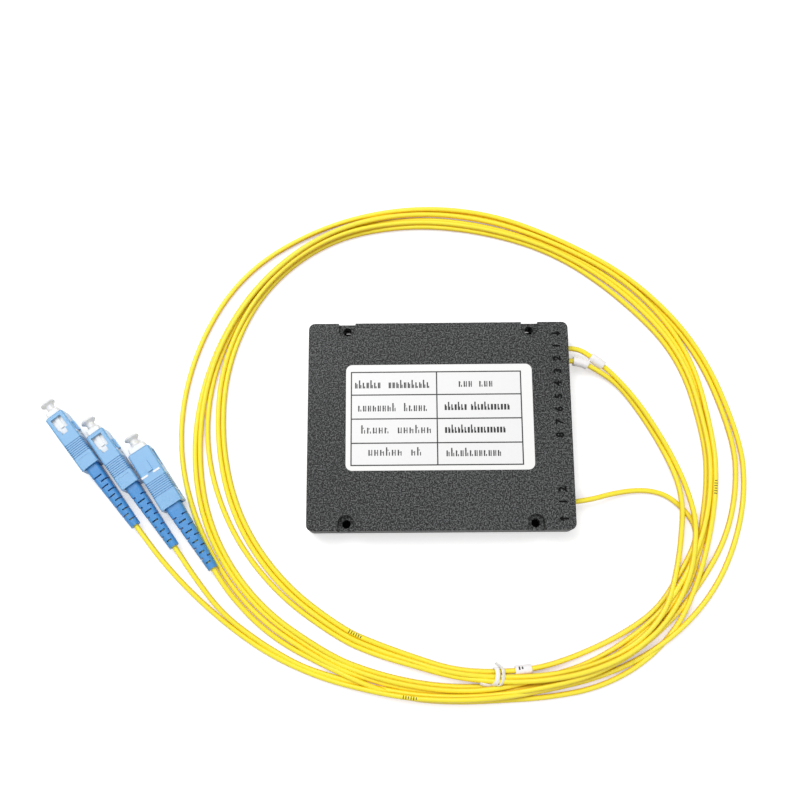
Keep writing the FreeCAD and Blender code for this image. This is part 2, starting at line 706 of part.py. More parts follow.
def make_plugs():
    """Every piece of each plug, laid where the plug lies."""
    for name, front, heading, roll in PLUGS:
        pieces = [make(name) for make in (housing, plug_frame, ferrule, collar, spring, back_post, crimp_ring,
                                          boot, dust_cap, jacket_end)]
        for piece in pieces:
            piece.Placement = plug_placement(front, heading, roll)


# ---------------------------------------------------------------- cords
# Each lead runs from its collar behind the port to the coil; each tail runs from the coil's side to its plug's boot.
LEADS = {
    "output_1": [(45.3, 30.3, 5.0), (56.5, 30.3, 5.0), (68.5, 21.6, 2.6), (79.5, 6.8, 1.2), (88.0, -9.0, 1.1),
                 (95.4, -24.6, 1.1), (91.7, -49.6, 1.1), (74.5, -73.1, 1.2), (50.2, -88.3, 1.5), (21.4, -94.4, 1.5),
                 (4.8, -93.8, 1.5), (-3.9, -92.1, 1.5), (-9.7, -91.2, 1.5)],
    "output_2": [(45.3, 25.3, 5.0), (55.8, 25.3, 5.0), (66.8, 19.6, 2.6), (77.4, 5.4, 1.2), (85.5, -9.5, 1.1),
                 (90.9, -26.7, 1.1), (88.9, -50.1, 1.1), (72.9, -71.5, 1.2), (49.1, -86.4, 1.5), (20.9, -92.2, 1.5),
                 (4.8, -91.6, 1.5), (-3.7, -89.9, 1.5), (-9.3, -89.1, 1.5)],
    "input": [(45.3, -29.7, 5.0), (57.0, -29.7, 5.0), (71.5, -30.3, 2.6), (81.5, -37.0, 1.2), (84.7, -51.8, 1.1),
              (71.1, -69.8, 1.3), (50.2, -82.0, 1.75), (26.3, -88.3, 1.75), (8.4, -89.7, 1.75), (-1.1, -87.9, 1.75),
              (-5.4, -87.4, 1.75), (-9.0, -86.9, 1.75)],
}
TAILS = {
    "output_1": [(-114.55, -36.82, 4.5), (-104.06, -50.2, 4.4), (-91.8, -63.7, 2.4), (-77.5, -75.9, 1.1),
                 (-63.4, -85.4, 1.1), (-49.4, -92.1, 1.1), (-41.1, -95.0, 1.1), (-35.2, -97.3, 1.1)],
    "output_2": [(-99.7, -44.75, 4.5), (-91.37, -56.0, 4.4), (-81.5, -69.35, 2.4), (-68.0, -79.5, 1.1),
                 (-54.5, -87.0, 1.1), (-43.9, -91.4, 1.1), (-38.3, -93.6, 1.1), (-34.3, -95.3, 1.1)],
    "input": [(-85.05, -52.87, 3.7), (-81.7, -57.85, 3.7), (-77.6, -63.7, 2.9), (-73.4, -68.35, 2.2), (-70.2, -71.8, 1.9)],
}
# Each fibre inside the box, between the splitter and its cord's first point.
FIBRES = {
    "input": [(-34.0, 0.0, 3.4), (-42.5, -9.0, 3.0), (-42.0, -22.0, 2.6), (-29.0, -30.5, 2.6), (-8.0, -31.0, 2.8),
              (12.0, -27.0, 3.6), (30.0, -29.7, 5.0)],
    "output_1": [(35.5, 0.475, 3.2), (38.0, 14.0, 2.4), (31.0, 27.0, 2.2), (8.0, 29.5, 2.2), (-18.0, 29.0, 2.2),
                 (-34.0, 24.5, 2.2), (-35.5, 13.5, 2.2), (-20.0, 9.5, 2.2), (4.0, 10.5, 2.8), (22.0, 17.5, 4.2),
                 (32.0, 30.3, 5.0)],
    "output_2": [(37.0, -0.475, 3.2), (40.0, 13.5, 2.4), (32.5, 29.0, 2.2), (8.5, 31.5, 2.2), (-18.5, 31.0, 2.2),
                 (-36.0, 26.0, 2.2), (-37.6, 12.5, 2.2), (-20.5, 7.4, 2.2), (4.5, 8.4, 2.8), (24.0, 15.5, 4.2),
                 (33.5, 25.3, 5.0)],
}
# The coil seen from above, as (angle, radius) about its middle; a step is where cords join it or leave it.
COIL_MIDDLE = Vector(4, -5, 0)
COIL_OUTSIDE = [(247, 101.4), (255, 99.3), (265, 97.4), (275, 97.2), (285, 99.5), (295, 104.0), (305, 108.0),
                (320, 110.7), (332, 114.0), (342, 115.0), (355, 113.6), (370, 109.5), (385, 103.4), (400, 99.3),
                (415, 95.8), (430, 94.7), (445, 95.8), (460, 97.4), (470, 98.5), (480, 102.5), (490, 105.5),
                (500, 107.2), (515, 106.8), (530, 106.1), (540, 105.0), (551, 102.6), (560, 100.8), (568, 99.1),
                (575, 98.7), (582, 98.2)]
COIL_OUTSIDE_STEP = [(582, 100.9), (590, 99.2), (600, 97.4), (607, 96.7)]
COIL_INSIDE = [(261, 88.8), (270, 90.2), (280, 92.4), (290, 93.5), (300, 96.0), (310, 97.8), (320, 98.9), (332, 99.4),
               (345, 98.0), (360, 96.2), (375, 94.9), (390, 90.2), (400, 87.6), (415, 85.8), (430, 85.6), (445, 86.1),
               (460, 88.7), (475, 93.0), (490, 93.8), (505, 93.4), (520, 90.0), (540, 85.8), (560, 83.2), (580, 80.2),
               (600, 79.0), (612, 79.3), (621, 80.6)]
# Marker sleeves: the lead each is on, and how far along it its middle is; a negative distance is from the lead's end.
MARKERS = {"output_1": 18.3, "output_2": 10.6, "input": -37.5}


def plain_solid(label, shape):
    """A sub-part whose shape is set outright."""
    part = doc.addObject("Part::Feature", label)
    part.Label = label
    part.Shape = shape
    subparts[label] = part
    return part


def cord_path(points):
    """A wire of straight runs joined by tangent arcs through a route's points, and the arcs' radii."""
    corners = [Vector(*point) for point in points]
    edges, radii, start = [], [], corners[0]
    for before, corner, after in zip(corners, corners[1:], corners[2:]):
        run_in, run_out = corner - before, after - corner
        reach = 0.45 * min(run_in.Length, run_out.Length)
        half_turn = run_in.getAngle(run_out) / 2
        radius = reach / math.tan(half_turn)
        run_in.normalize()
        run_out.normalize()
        arc_start, arc_end = corner - run_in * reach, corner + run_out * reach
        inward = (run_out - run_in).normalize()
        middle = corner + inward * (radius / math.cos(half_turn) - radius)
        edges.append(Part.LineSegment(start, arc_start).toShape())
        edges.append(Part.Arc(arc_start, middle, arc_end).toShape())
        radii.append(radius)
        start = arc_end
    edges.append(Part.LineSegment(start, corners[-1]).toShape())
    return Part.Wire(edges), radii


def tube(label, points, diameter):
    """A cord's plain round tube along its route."""
    path, radii = cord_path(points)
    along = Vector(*points[1]) - Vector(*points[0])
    ring = Part.Wire(Part.makeCircle(diameter / 2, Vector(*points[0]), along))
    solid = path.makePipeShell([ring], True, False)
    full = math.pi * diameter ** 2 / 4 * path.Length
    print(f"{label}: length {path.Length:.1f}, radii {min(radii):.1f} to {max(radii):.1f}, "
          f"volume {solid.Volume / full:.4f} of its section times its length")
    return plain_solid(label, solid)


def curve(points):
    """A smooth edge through polar points of the coil, flat on the floor."""
    places = [COIL_MIDDLE + Vector(radius * math.cos(math.radians(angle)), radius * math.sin(math.radians(angle)), 0)
              for angle, radius in points]
    line = Part.BSplineCurve()
    line.interpolate(places)
    return line.toShape()


def closed(curves):
    """The curves in order, with a straight step from each to the next."""
    ends = [(line.valueAt(line.FirstParameter), line.valueAt(line.LastParameter)) for line in curves]
    edges = []
    for i, line in enumerate(curves):
        edges += [line, Part.LineSegment(ends[i][1], ends[(i + 1) % len(ends)][0]).toShape()]
    return Part.Wire(edges)


def make_coil():
    """The coil of all three cords as one closed ring of its outer shape."""
    outer, inner = closed([curve(COIL_OUTSIDE), curve(COIL_OUTSIDE_STEP)]), closed([curve(COIL_INSIDE)])
    outline = Part.makeFace([outer, inner], "Part::FaceMakerBullseye")
    height = value("coil_layers * cord_diameter + fit_gap")
    plain_solid("cord_coil", outline.extrude(Vector(0, 0, height)))


def make_fibres():
    """The bare fibres inside the box: from the splitter's two ends, once round, to the collars behind the ports."""
    for name, (end, side) in {"input": (-1, 0), "output_1": (1, 1), "output_2": (1, -1)}.items():
        start = (value(f"module_shift + {end} * module_length / 2"),
                 side * value("( fibre_diameter / 2 + fit_gap / 4 )"), value(MODULE_HEIGHT))
        tube(f"{name}_fibre", [start, *FIBRES[name], LEADS[name][0]], value("fibre_diameter"))


def make_cords():
    """The leads and the tails."""
    for name, points in LEADS.items():
        tube(f"{name}_lead", points, value("cord_diameter"))
    for name, points in TAILS.items():
        tube(f"{name}_tail", points, value("cord_diameter"))


def place_along(part, points, distance, lift=0.0):
    """Put a piece's own origin on a route, its X axis along the cord."""
    path, _ = cord_path(points)
    left = distance if distance >= 0 else path.Length + distance
    for edge in path.OrderedEdges:
        if left <= edge.Length:
            break
        left -= edge.Length
    at = edge.getParameterByLength(left)
    part.Placement = Placement(edge.valueAt(at) + Vector(0, 0, lift), Rotation(Vector(1, 0, 0), edge.tangentAt(at)))


def make_markers():
    """The marker sleeves threaded on the leads."""
    for name, distance in MARKERS.items():
        sleeve = turned(f"{name}_marker", [
            ("-marker_length / 2", "marker_bore / 2"), ("marker_length / 2", "marker_bore / 2"),
            ("marker_length / 2", "marker_diameter / 2"), ("-marker_length / 2", "marker_diameter / 2")])
        place_along(sleeve, LEADS[name], distance)


def make_tie():
    """The twist tie: a flat loop round the three leads, with its twisted end on top."""
    body = new_body("twist_tie")
    loop = new_sketch(body, "YZ", "-tie_length / 2")
    rounded_rectangle(loop, "( tie_width + 2 * tie_strip )", "( tie_height + 2 * tie_strip )", "( tie_radius + tie_strip )")
    rounded_rectangle(loop, "tie_width", "tie_height", "tie_radius")
    pad(body, loop, "tie_length")
    twist = new_sketch(body, "YZ", "-twist_length / 2")
    circle(twist, "0", "tie_height / 2 + tie_strip / 2 + twist_diameter / 2", "twist_diameter")
    pad(body, twist, "twist_length")
    angle, radius = math.radians(279.8), 87.75
    place = COIL_MIDDLE + Vector(radius * math.cos(angle), radius * math.sin(angle), value("tie_lift"))
    body.Placement = Placement(place, Rotation(Vector(0, 0, 1), 189.8))


# ---------------------------------------------------------------- run
make_tray()
make_cover()
make_label()
make_module()
make_anchors()
make_plugs()
make_fibres()
make_cords()
make_coil()
make_markers()
make_tie()
doc.recompute()

problems = [f"{thing.Name}: {thing.getStatusString()}" for thing in doc.Objects if {"Invalid", "Error"} & set(thing.State)]
problems += [label for label, part in subparts.items() if part.Shape.isNull() or not part.Shape.isValid()]
if problems:
    raise RuntimeError("failed: " + "; ".join(problems))
os.makedirs("parts", exist_ok=True)
for label, part in subparts.items():
    solid = part.Shape
    print(f"{label:28s} solids {len(solid.Solids)} volume {solid.Volume:9.2f} "
          f"box {solid.BoundBox.XMin:.1f} {solid.BoundBox.YMin:.1f} {solid.BoundBox.ZMin:.2f} "
          f"{solid.BoundBox.XMax:.1f} {solid.BoundBox.YMax:.1f} {solid.BoundBox.ZMax:.2f}")
    solid.exportStep(f"parts/{label}.step")
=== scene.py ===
"""Looks of a flat fibre splitter box with three coiled cords that end in push-pull plugs."""

import json
import logging
import math
from dataclasses import dataclass, field
from enum import Enum
from typing import Any, Iterable, Sequence

import bmesh
import bpy
from mathutils import Euler, Matrix, Vector

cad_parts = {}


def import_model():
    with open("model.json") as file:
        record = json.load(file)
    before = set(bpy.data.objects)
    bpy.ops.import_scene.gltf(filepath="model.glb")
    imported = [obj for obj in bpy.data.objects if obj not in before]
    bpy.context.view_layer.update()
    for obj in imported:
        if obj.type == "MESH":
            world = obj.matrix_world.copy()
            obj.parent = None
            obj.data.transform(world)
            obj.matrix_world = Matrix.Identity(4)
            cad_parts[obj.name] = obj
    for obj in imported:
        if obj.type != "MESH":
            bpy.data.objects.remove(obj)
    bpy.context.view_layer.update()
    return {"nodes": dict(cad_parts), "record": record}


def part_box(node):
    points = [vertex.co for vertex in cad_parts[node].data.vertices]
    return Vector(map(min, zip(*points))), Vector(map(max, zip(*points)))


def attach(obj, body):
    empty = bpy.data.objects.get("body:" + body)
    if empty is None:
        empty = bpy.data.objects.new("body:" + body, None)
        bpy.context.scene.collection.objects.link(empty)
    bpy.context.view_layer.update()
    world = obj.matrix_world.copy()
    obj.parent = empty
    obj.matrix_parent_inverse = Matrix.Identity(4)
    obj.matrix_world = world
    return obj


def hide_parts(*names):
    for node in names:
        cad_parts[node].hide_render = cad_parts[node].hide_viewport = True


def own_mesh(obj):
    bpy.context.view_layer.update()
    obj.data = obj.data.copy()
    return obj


LOG = logging.getLogger("splitter")
MM = 0.001
ROOT = "box_and_cords"
Point = tuple[float, float, float]
Colour = tuple[float, float, float]


def linear(red: int, green: int, blue: int) -> Colour:
    """Turn display values from 0 to 255 into a linear colour.

    Args:
        red: The red value.
        green: The green value.
        blue: The blue value.

    Returns:
        The linear colour.
    """
    parts = (value / 255 for value in (red, green, blue))
    return tuple(part / 12.92 if part <= 0.04045 else ((part + 0.055) / 1.055) ** 2.4 for part in parts)


# ---------------------------------------------------------------------------- shader graph
class Wire:
    """A socket or a number in a material, with arithmetic that adds Math nodes."""

    def __init__(self, graph: "Graph", source: Any) -> None:
        """Keep the graph that new nodes go to, and the socket or number itself."""
        self.graph = graph
        self.source = source

    def _math(self, operation: str, *values: Any) -> "Wire":
        """Add a Math node of one operation on some values."""
        return self.graph.node("Math", {"operation": operation}, {i: v for i, v in enumerate(values)})

    def __add__(self, other: Any) -> "Wire":
        """Add."""
        return self._math("ADD", self, other)

    __radd__ = __add__

    def __sub__(self, other: Any) -> "Wire":
        """Subtract."""
        return self._math("SUBTRACT", self, other)

    def __rsub__(self, other: Any) -> "Wire":
        """Subtract from a number."""
        return self._math("SUBTRACT", other, self)

    def __mul__(self, other: Any) -> "Wire":
        """Multiply."""
        return self._math("MULTIPLY", self, other)

    def __or__(self, other: Any) -> "Wire":
        """The greater of two masks."""
        return self._math("MAXIMUM", self, other)

    def __gt__(self, other: Any) -> "Wire":
        """One where this is greater, and zero elsewhere."""
        return self._math("GREATER_THAN", self, other)

    def __lt__(self, other: Any) -> "Wire":
        """One where this is less, and zero elsewhere."""
        return self._math("LESS_THAN", self, other)


class Graph:
    """The node tree of a material or world, with one method that adds nodes."""

    def __init__(self, name: str, world: bool = False) -> None:
        """Make a new material or world of one name with only its output and shader."""
        self.material = (bpy.data.worlds if world else bpy.data.materials).new(name)
        self.material.use_nodes = True
        self.tree = self.material.node_tree
        self.shader = self.tree.nodes["Background" if world else "Principled BSDF"]

    def node(self, kind: str, settings: dict[str, Any], inputs: dict[Any, Any], output: Any = 0) -> Wire:
        """Add a shader node.

        Args:
            kind: The node's type without its ShaderNode prefix.
            settings: Properties of the node.
            inputs: Values or wires, by socket name or number.
            output: The name or number of the socket to return.

        Returns:
            The node's output as a wire.
        """
        node = self.tree.nodes.new("ShaderNode" + kind)
        for name, value in settings.items():
            setattr(node, name, value)
        for name, value in inputs.items():
            self._feed(node.inputs[name], value)
        return Wire(self, node.outputs[output])

    def _feed(self, socket: bpy.types.NodeSocket, value: Any) -> None:
        """Link a wire to a socket, or set the socket's own value."""
        source = value.source if isinstance(value, Wire) else value
        if isinstance(source, bpy.types.NodeSocket):
            self.tree.links.new(source, socket)
        else:
            socket.default_value = source

    def surface(self, **values: Any) -> bpy.types.Material:
        """Feed the surface shader's sockets, named with underscores for spaces.

        Args:
            **values: Values or wires for the sockets.

        Returns:
            The finished material.
        """
        for name, value in values.items():
            self._feed(self.shader.inputs[name.replace("_", " ")], value)
        return self.material

    def noise(self, scale: float, detail: float, roughness: float) -> Wire:
        """Add a noise texture on the object's own coordinates."""
        place = self.node("TexCoord", {}, {}, "Object")
        return self.node("TexNoise", {}, {"Vector": place, "Scale": scale, "Detail": detail,
                                          "Roughness": roughness})

    def bump(self, height: Wire, distance: float) -> Wire:
        """Add a bump from a height in units of a distance."""
        return self.node("Bump", {}, {"Height": height, "Distance": distance, "Strength": 1.0})

    def blend(self, factor: Any, low: Any, high: Any) -> Wire:
        """Mix two colours."""
        ends = [(*colour, 1.0) if isinstance(colour, tuple) else colour for colour in (low, high)]
        return self.node("Mix", {"data_type": "RGBA"}, {0: factor, 6: ends[0], 7: ends[1]}, 2)

    def seen(self) -> Wire:
        """A mask that is one for the camera, for mirrors and for clear plastic."""
        rays = [self.node("LightPath", {}, {}, f"Is {kind} Ray")
                for kind in ("Camera", "Glossy", "Transmission")]
        return rays[0] | rays[1] | rays[2]


# ---------------------------------------------------------------------------- finishes
@dataclass(frozen=True)
class MouldedGrain:
    """Hard plastic with the fine grain of a spark-eroded mould; where the two colours lie far apart, as on
    the box, the lighter specks are partly grain tone and partly painted glints.
    """

    name: str
    colour: Colour
    light: Colour
    grain: float = 2100.0
    depth: float = 0.00012
    roughness: float = 0.5
    gloss: float = 0.22
    coarser: float = 1.9
    fine_share: float = 0.75
    pits_and_peaks: tuple[float, float] = (0.47, 0.6)

    def material(self) -> bpy.types.Material:
        """Build the material."""
        graph = Graph(self.name)
        fine = graph.noise(self.grain, 2.0, 0.6)
        coarse = graph.noise(self.grain / self.coarser, 2.0, 0.5)
        cloud = graph.noise(18.0, 2.0, 0.5)
        height = fine * self.fine_share + coarse * (1 - self.fine_share)
        pits, peaks = self.pits_and_peaks
        tone = graph.node("MapRange", {}, {0: height + (cloud - 0.5) * 0.05, 1: pits, 2: peaks, 3: 0.0,
                                           4: 1.0})
        # The light colour of the specks is partly grain tone and partly painted glint off the grain.
        base = graph.blend(tone, self.colour, self.light)
        rough = self.roughness + (cloud - 0.5) * 0.08
        return graph.surface(Base_Color=base, Roughness=rough, Specular_IOR_Level=self.gloss,
                             Normal=graph.bump(height, self.depth))


@dataclass(frozen=True)
class GlossPlastic:
    """Smooth moulded plastic with a faint flow pattern."""

    name: str
    colour: Colour
    shade: Colour
    roughness: float = 0.25
    transmission: float = 0.0
    scatter: float = 0.0
    depth: float = 0.00002

    def material(self) -> bpy.types.Material:
        """Build the material."""
        graph = Graph(self.name)
        flow = graph.noise(60.0, 3.0, 0.5)
        fine = graph.noise(900.0, 2.0, 0.5)
        base = graph.blend(flow, self.shade, self.colour)
        rough = self.roughness + (flow - 0.5) * 0.1
        return graph.surface(Base_Color=base, Roughness=rough, Normal=graph.bump(fine, self.depth),
                             Subsurface_Weight=self.scatter, Transmission_Weight=self.transmission,
                             Subsurface_Radius=(0.001, 0.001, 0.0015))


@dataclass(frozen=True)
class CordJacket:
    """Soft jacket of a thin cord, with painted shade on its flanks and a painted lit colour along its top."""

    name: str
    colour: Colour
    shade: Colour

    def material(self) -> bpy.types.Material:
        """Build the material."""
        graph = Graph(self.name)
        cloud = graph.noise(45.0, 3.0, 0.55)
        fine = graph.noise(700.0, 2.0, 0.5)
        # Painted shade: the base colour goes from the shade colour where the surface faces sideways to the
        # lit colour where it faces up.
        normal = graph.node("NewGeometry", {}, {}, "Normal")
        facing = graph.node("SeparateXYZ", {}, {0: normal}, 2)
        top = graph.node("MapRange", {}, {0: facing + (cloud - 0.5) * 0.2, 1: 0.1, 2: 0.8, 3: 0.0, 4: 1.0})
        base = graph.blend(top, self.shade, self.colour)
        rough = 0.34 + (cloud - 0.5) * 0.12
        return graph.surface(Base_Color=base, Roughness=rough, Normal=graph.bump(fine, 0.00002),
                             Subsurface_Weight=0.05, Subsurface_Radius=(0.001, 0.0007, 0.0003))


@dataclass(frozen=True)
class Metal:
    """Drawn, turned or plated metal."""

    name: str
    colour: Colour
    roughness: float = 0.3

    def material(self) -> bpy.types.Material:
        """Build the material."""
        graph = Graph(self.name)
        streak = graph.noise(400.0, 3.0, 0.6)
        rough = self.roughness + (streak - 0.5) * 0.15
        return graph.surface(Base_Color=(*self.colour, 1.0), Metallic=1.0, Roughness=rough,
                             Normal=graph.bump(streak, 0.00001))


@dataclass(frozen=True)
class PrintedPaper:
    """Satin label stock, or the ink on it."""

    name: str
    colour: Colour

    def material(self) -> bpy.types.Material:
        """Build the material."""
        graph = Graph(self.name)
        fibre = graph.noise(500.0, 4.0, 0.6)
        base = graph.blend(fibre, tuple(part * 0.97 for part in self.colour), self.colour)
        return graph.surface(Base_Color=base, Roughness=0.38 + (fibre - 0.5) * 0.1,
                             Normal=graph.bump(fibre, 0.00001))


FINISHES = (
    # Painted glints: the box's pale specks are partly grain tone and partly painted glints off the grain.
    MouldedGrain("box_plastic", linear(12, 12, 13), linear(106, 108, 108)),
    MouldedGrain("mark_plastic", linear(2, 2, 3), linear(14, 14, 16), 900.0, 0.00004, 0.6, 0.08),
    PrintedPaper("label_film", linear(246, 246, 245)),
    PrintedPaper("label_cell", linear(241, 241, 241)),
    PrintedPaper("print_ink", linear(18, 18, 20)),
    PrintedPaper("jacket_ink", linear(96, 74, 26)),
    Metal("module_steel", linear(190, 190, 188)),
    MouldedGrain("soft_black", linear(40, 40, 42), linear(52, 52, 54), 600.0),
    # Each cord jacket's second colour is the painted shade on its flanks.
    CordJacket("cord_yellow", linear(255, 238, 54), linear(240, 180, 4)),
    GlossPlastic("marker_white", linear(252, 249, 249), linear(246, 243, 243), 0.35),
    GlossPlastic("tie_white", linear(252, 252, 252), linear(244, 244, 246), 0.4),
    GlossPlastic("housing_blue", linear(123, 180, 225), linear(110, 167, 214), 0.22, scatter=0.1),
    GlossPlastic("frame_white", linear(238, 240, 240), linear(228, 230, 231), 0.25),
    GlossPlastic("boot_blue", linear(74, 149, 214), linear(62, 137, 204), 0.34, scatter=0.05),
    GlossPlastic("cap_clear", linear(249, 250, 250), linear(240, 242, 243), 0.3, 0.12, 0.2),
    GlossPlastic("ceramic", linear(244, 244, 242), linear(240, 240, 238), 0.12),
    Metal("nickel", linear(205, 202, 192), 0.22),
    Metal("spring_steel", linear(180, 180, 182), 0.25),
    # Painted shade on the flanks, as on the yellow jacket.
    CordJacket("fibre_jacket", linear(235, 235, 230), linear(225, 225, 220)),
)


# ---------------------------------------------------------------------------- meshes
def add_mesh(name: str, shape: bmesh.types.BMesh, material: bpy.types.Material) -> bpy.types.Object:
    """Turn a built shape into an object in the scene with one material.

    Args:
        name: The piece's name.
        shape: The finished geometry, which is freed.
        material: The piece's material.

    Returns:
        The new object.
    """
    mesh = bpy.data.meshes.new(name)
    bmesh.ops.recalc_face_normals(shape, faces=shape.faces[:])
    shape.to_mesh(mesh)
    shape.free()
    piece = bpy.data.objects.new(name, mesh)
    bpy.context.scene.collection.objects.link(piece)
    mesh.materials.append(material)
    return piece


def polar(angle: float, radius: float, height: float, middle: tuple[float, float]) -> Point:
    """Find a point from its angle in degrees, radius and height about a middle."""
    turn = math.radians(angle)
    return (middle[0] + radius * math.cos(turn), middle[1] + radius * math.sin(turn), height)


def sweep(name: str, line: Sequence[Vector], rings: Sequence[tuple[float, float]],
          material: bpy.types.Material, sides: int = 24) -> bpy.types.Object:
    """Sweep round rings along a line of points, as a closed solid of revolution that bends with the line.

    Args:
        name: The piece's name.
        line: Points along the line, in metres.
        rings: The profile, as pairs of the share of the line's length and the radius in metres, closed
            on itself.
        material: The piece's material.
        sides: How many sides each ring has.

    Returns:
        The new object.
    """
    shape = bmesh.new()
    lengths = [0.0]
    for before, after in zip(line, line[1:]):
        lengths.append(lengths[-1] + (after - before).length)
    loops = []
    for share, radius in rings:
        place, along = point_on(line, lengths, share * lengths[-1])
        across = along.cross(Vector((0, 0, 1))).normalized()
        up = across.cross(along)
        loops.append([shape.verts.new(place + (across * math.cos(math.tau * i / sides)
                                               + up * math.sin(math.tau * i / sides)) * radius)
                      for i in range(sides)])
    for ring, following in zip(loops, loops[1:] + loops[:1]):
        for i in range(sides):
            j = (i + 1) % sides
            shape.faces.new((ring[i], ring[j], following[j], following[i]))
    return add_mesh(name, shape, material)


def tube(name: str, rings: Sequence[Sequence[Vector]], material: bpy.types.Material) -> bpy.types.Object:
    """Join a row of rings of points into a smooth solid with flat ends.

    Args:
        name: The piece's name.
        rings: The rings, each with as many points.
        material: The piece's material.

    Returns:
        The new object.
    """
    shape = bmesh.new()
    loops = [[shape.verts.new(point) for point in ring] for ring in rings]
    for ring, following in zip(loops, loops[1:]):
        for i in range(len(ring)):
            j = (i + 1) % len(ring)
            shape.faces.new((ring[i], ring[j], following[j], following[i]))
    shape.faces.new(loops[0])
    shape.faces.new(loops[-1])
    piece = add_mesh(name, shape, material)
    for polygon in piece.data.polygons:
        polygon.use_smooth = len(polygon.vertices) == 4
    return piece


def point_on(line: Sequence[Vector], lengths: Sequence[float], distance: float) -> tuple[Vector, Vector]:
    """Find a place and direction at a distance along a line.

    Args:
        line: Points along the line.
        lengths: Each point's distance from the start.
        distance: How far along to look.

    Returns:
        The place and the unit direction there.
    """
    for i in range(len(line) - 1):
        if distance <= lengths[i + 1] or i == len(line) - 2:
            step = line[i + 1] - line[i]
            share = (distance - lengths[i]) / max(step.length, 1e-9)
            return line[i] + step * share, step.normalized()
    raise ValueError("the line has no length")


# ---------------------------------------------------------------------------- cords
class Lead(Enum):
    """The three cords, in the order in which the coil's rows give them."""

    INPUT = "input"
    OUTPUT_2 = "output_2"
    OUTPUT_1 = "output_1"


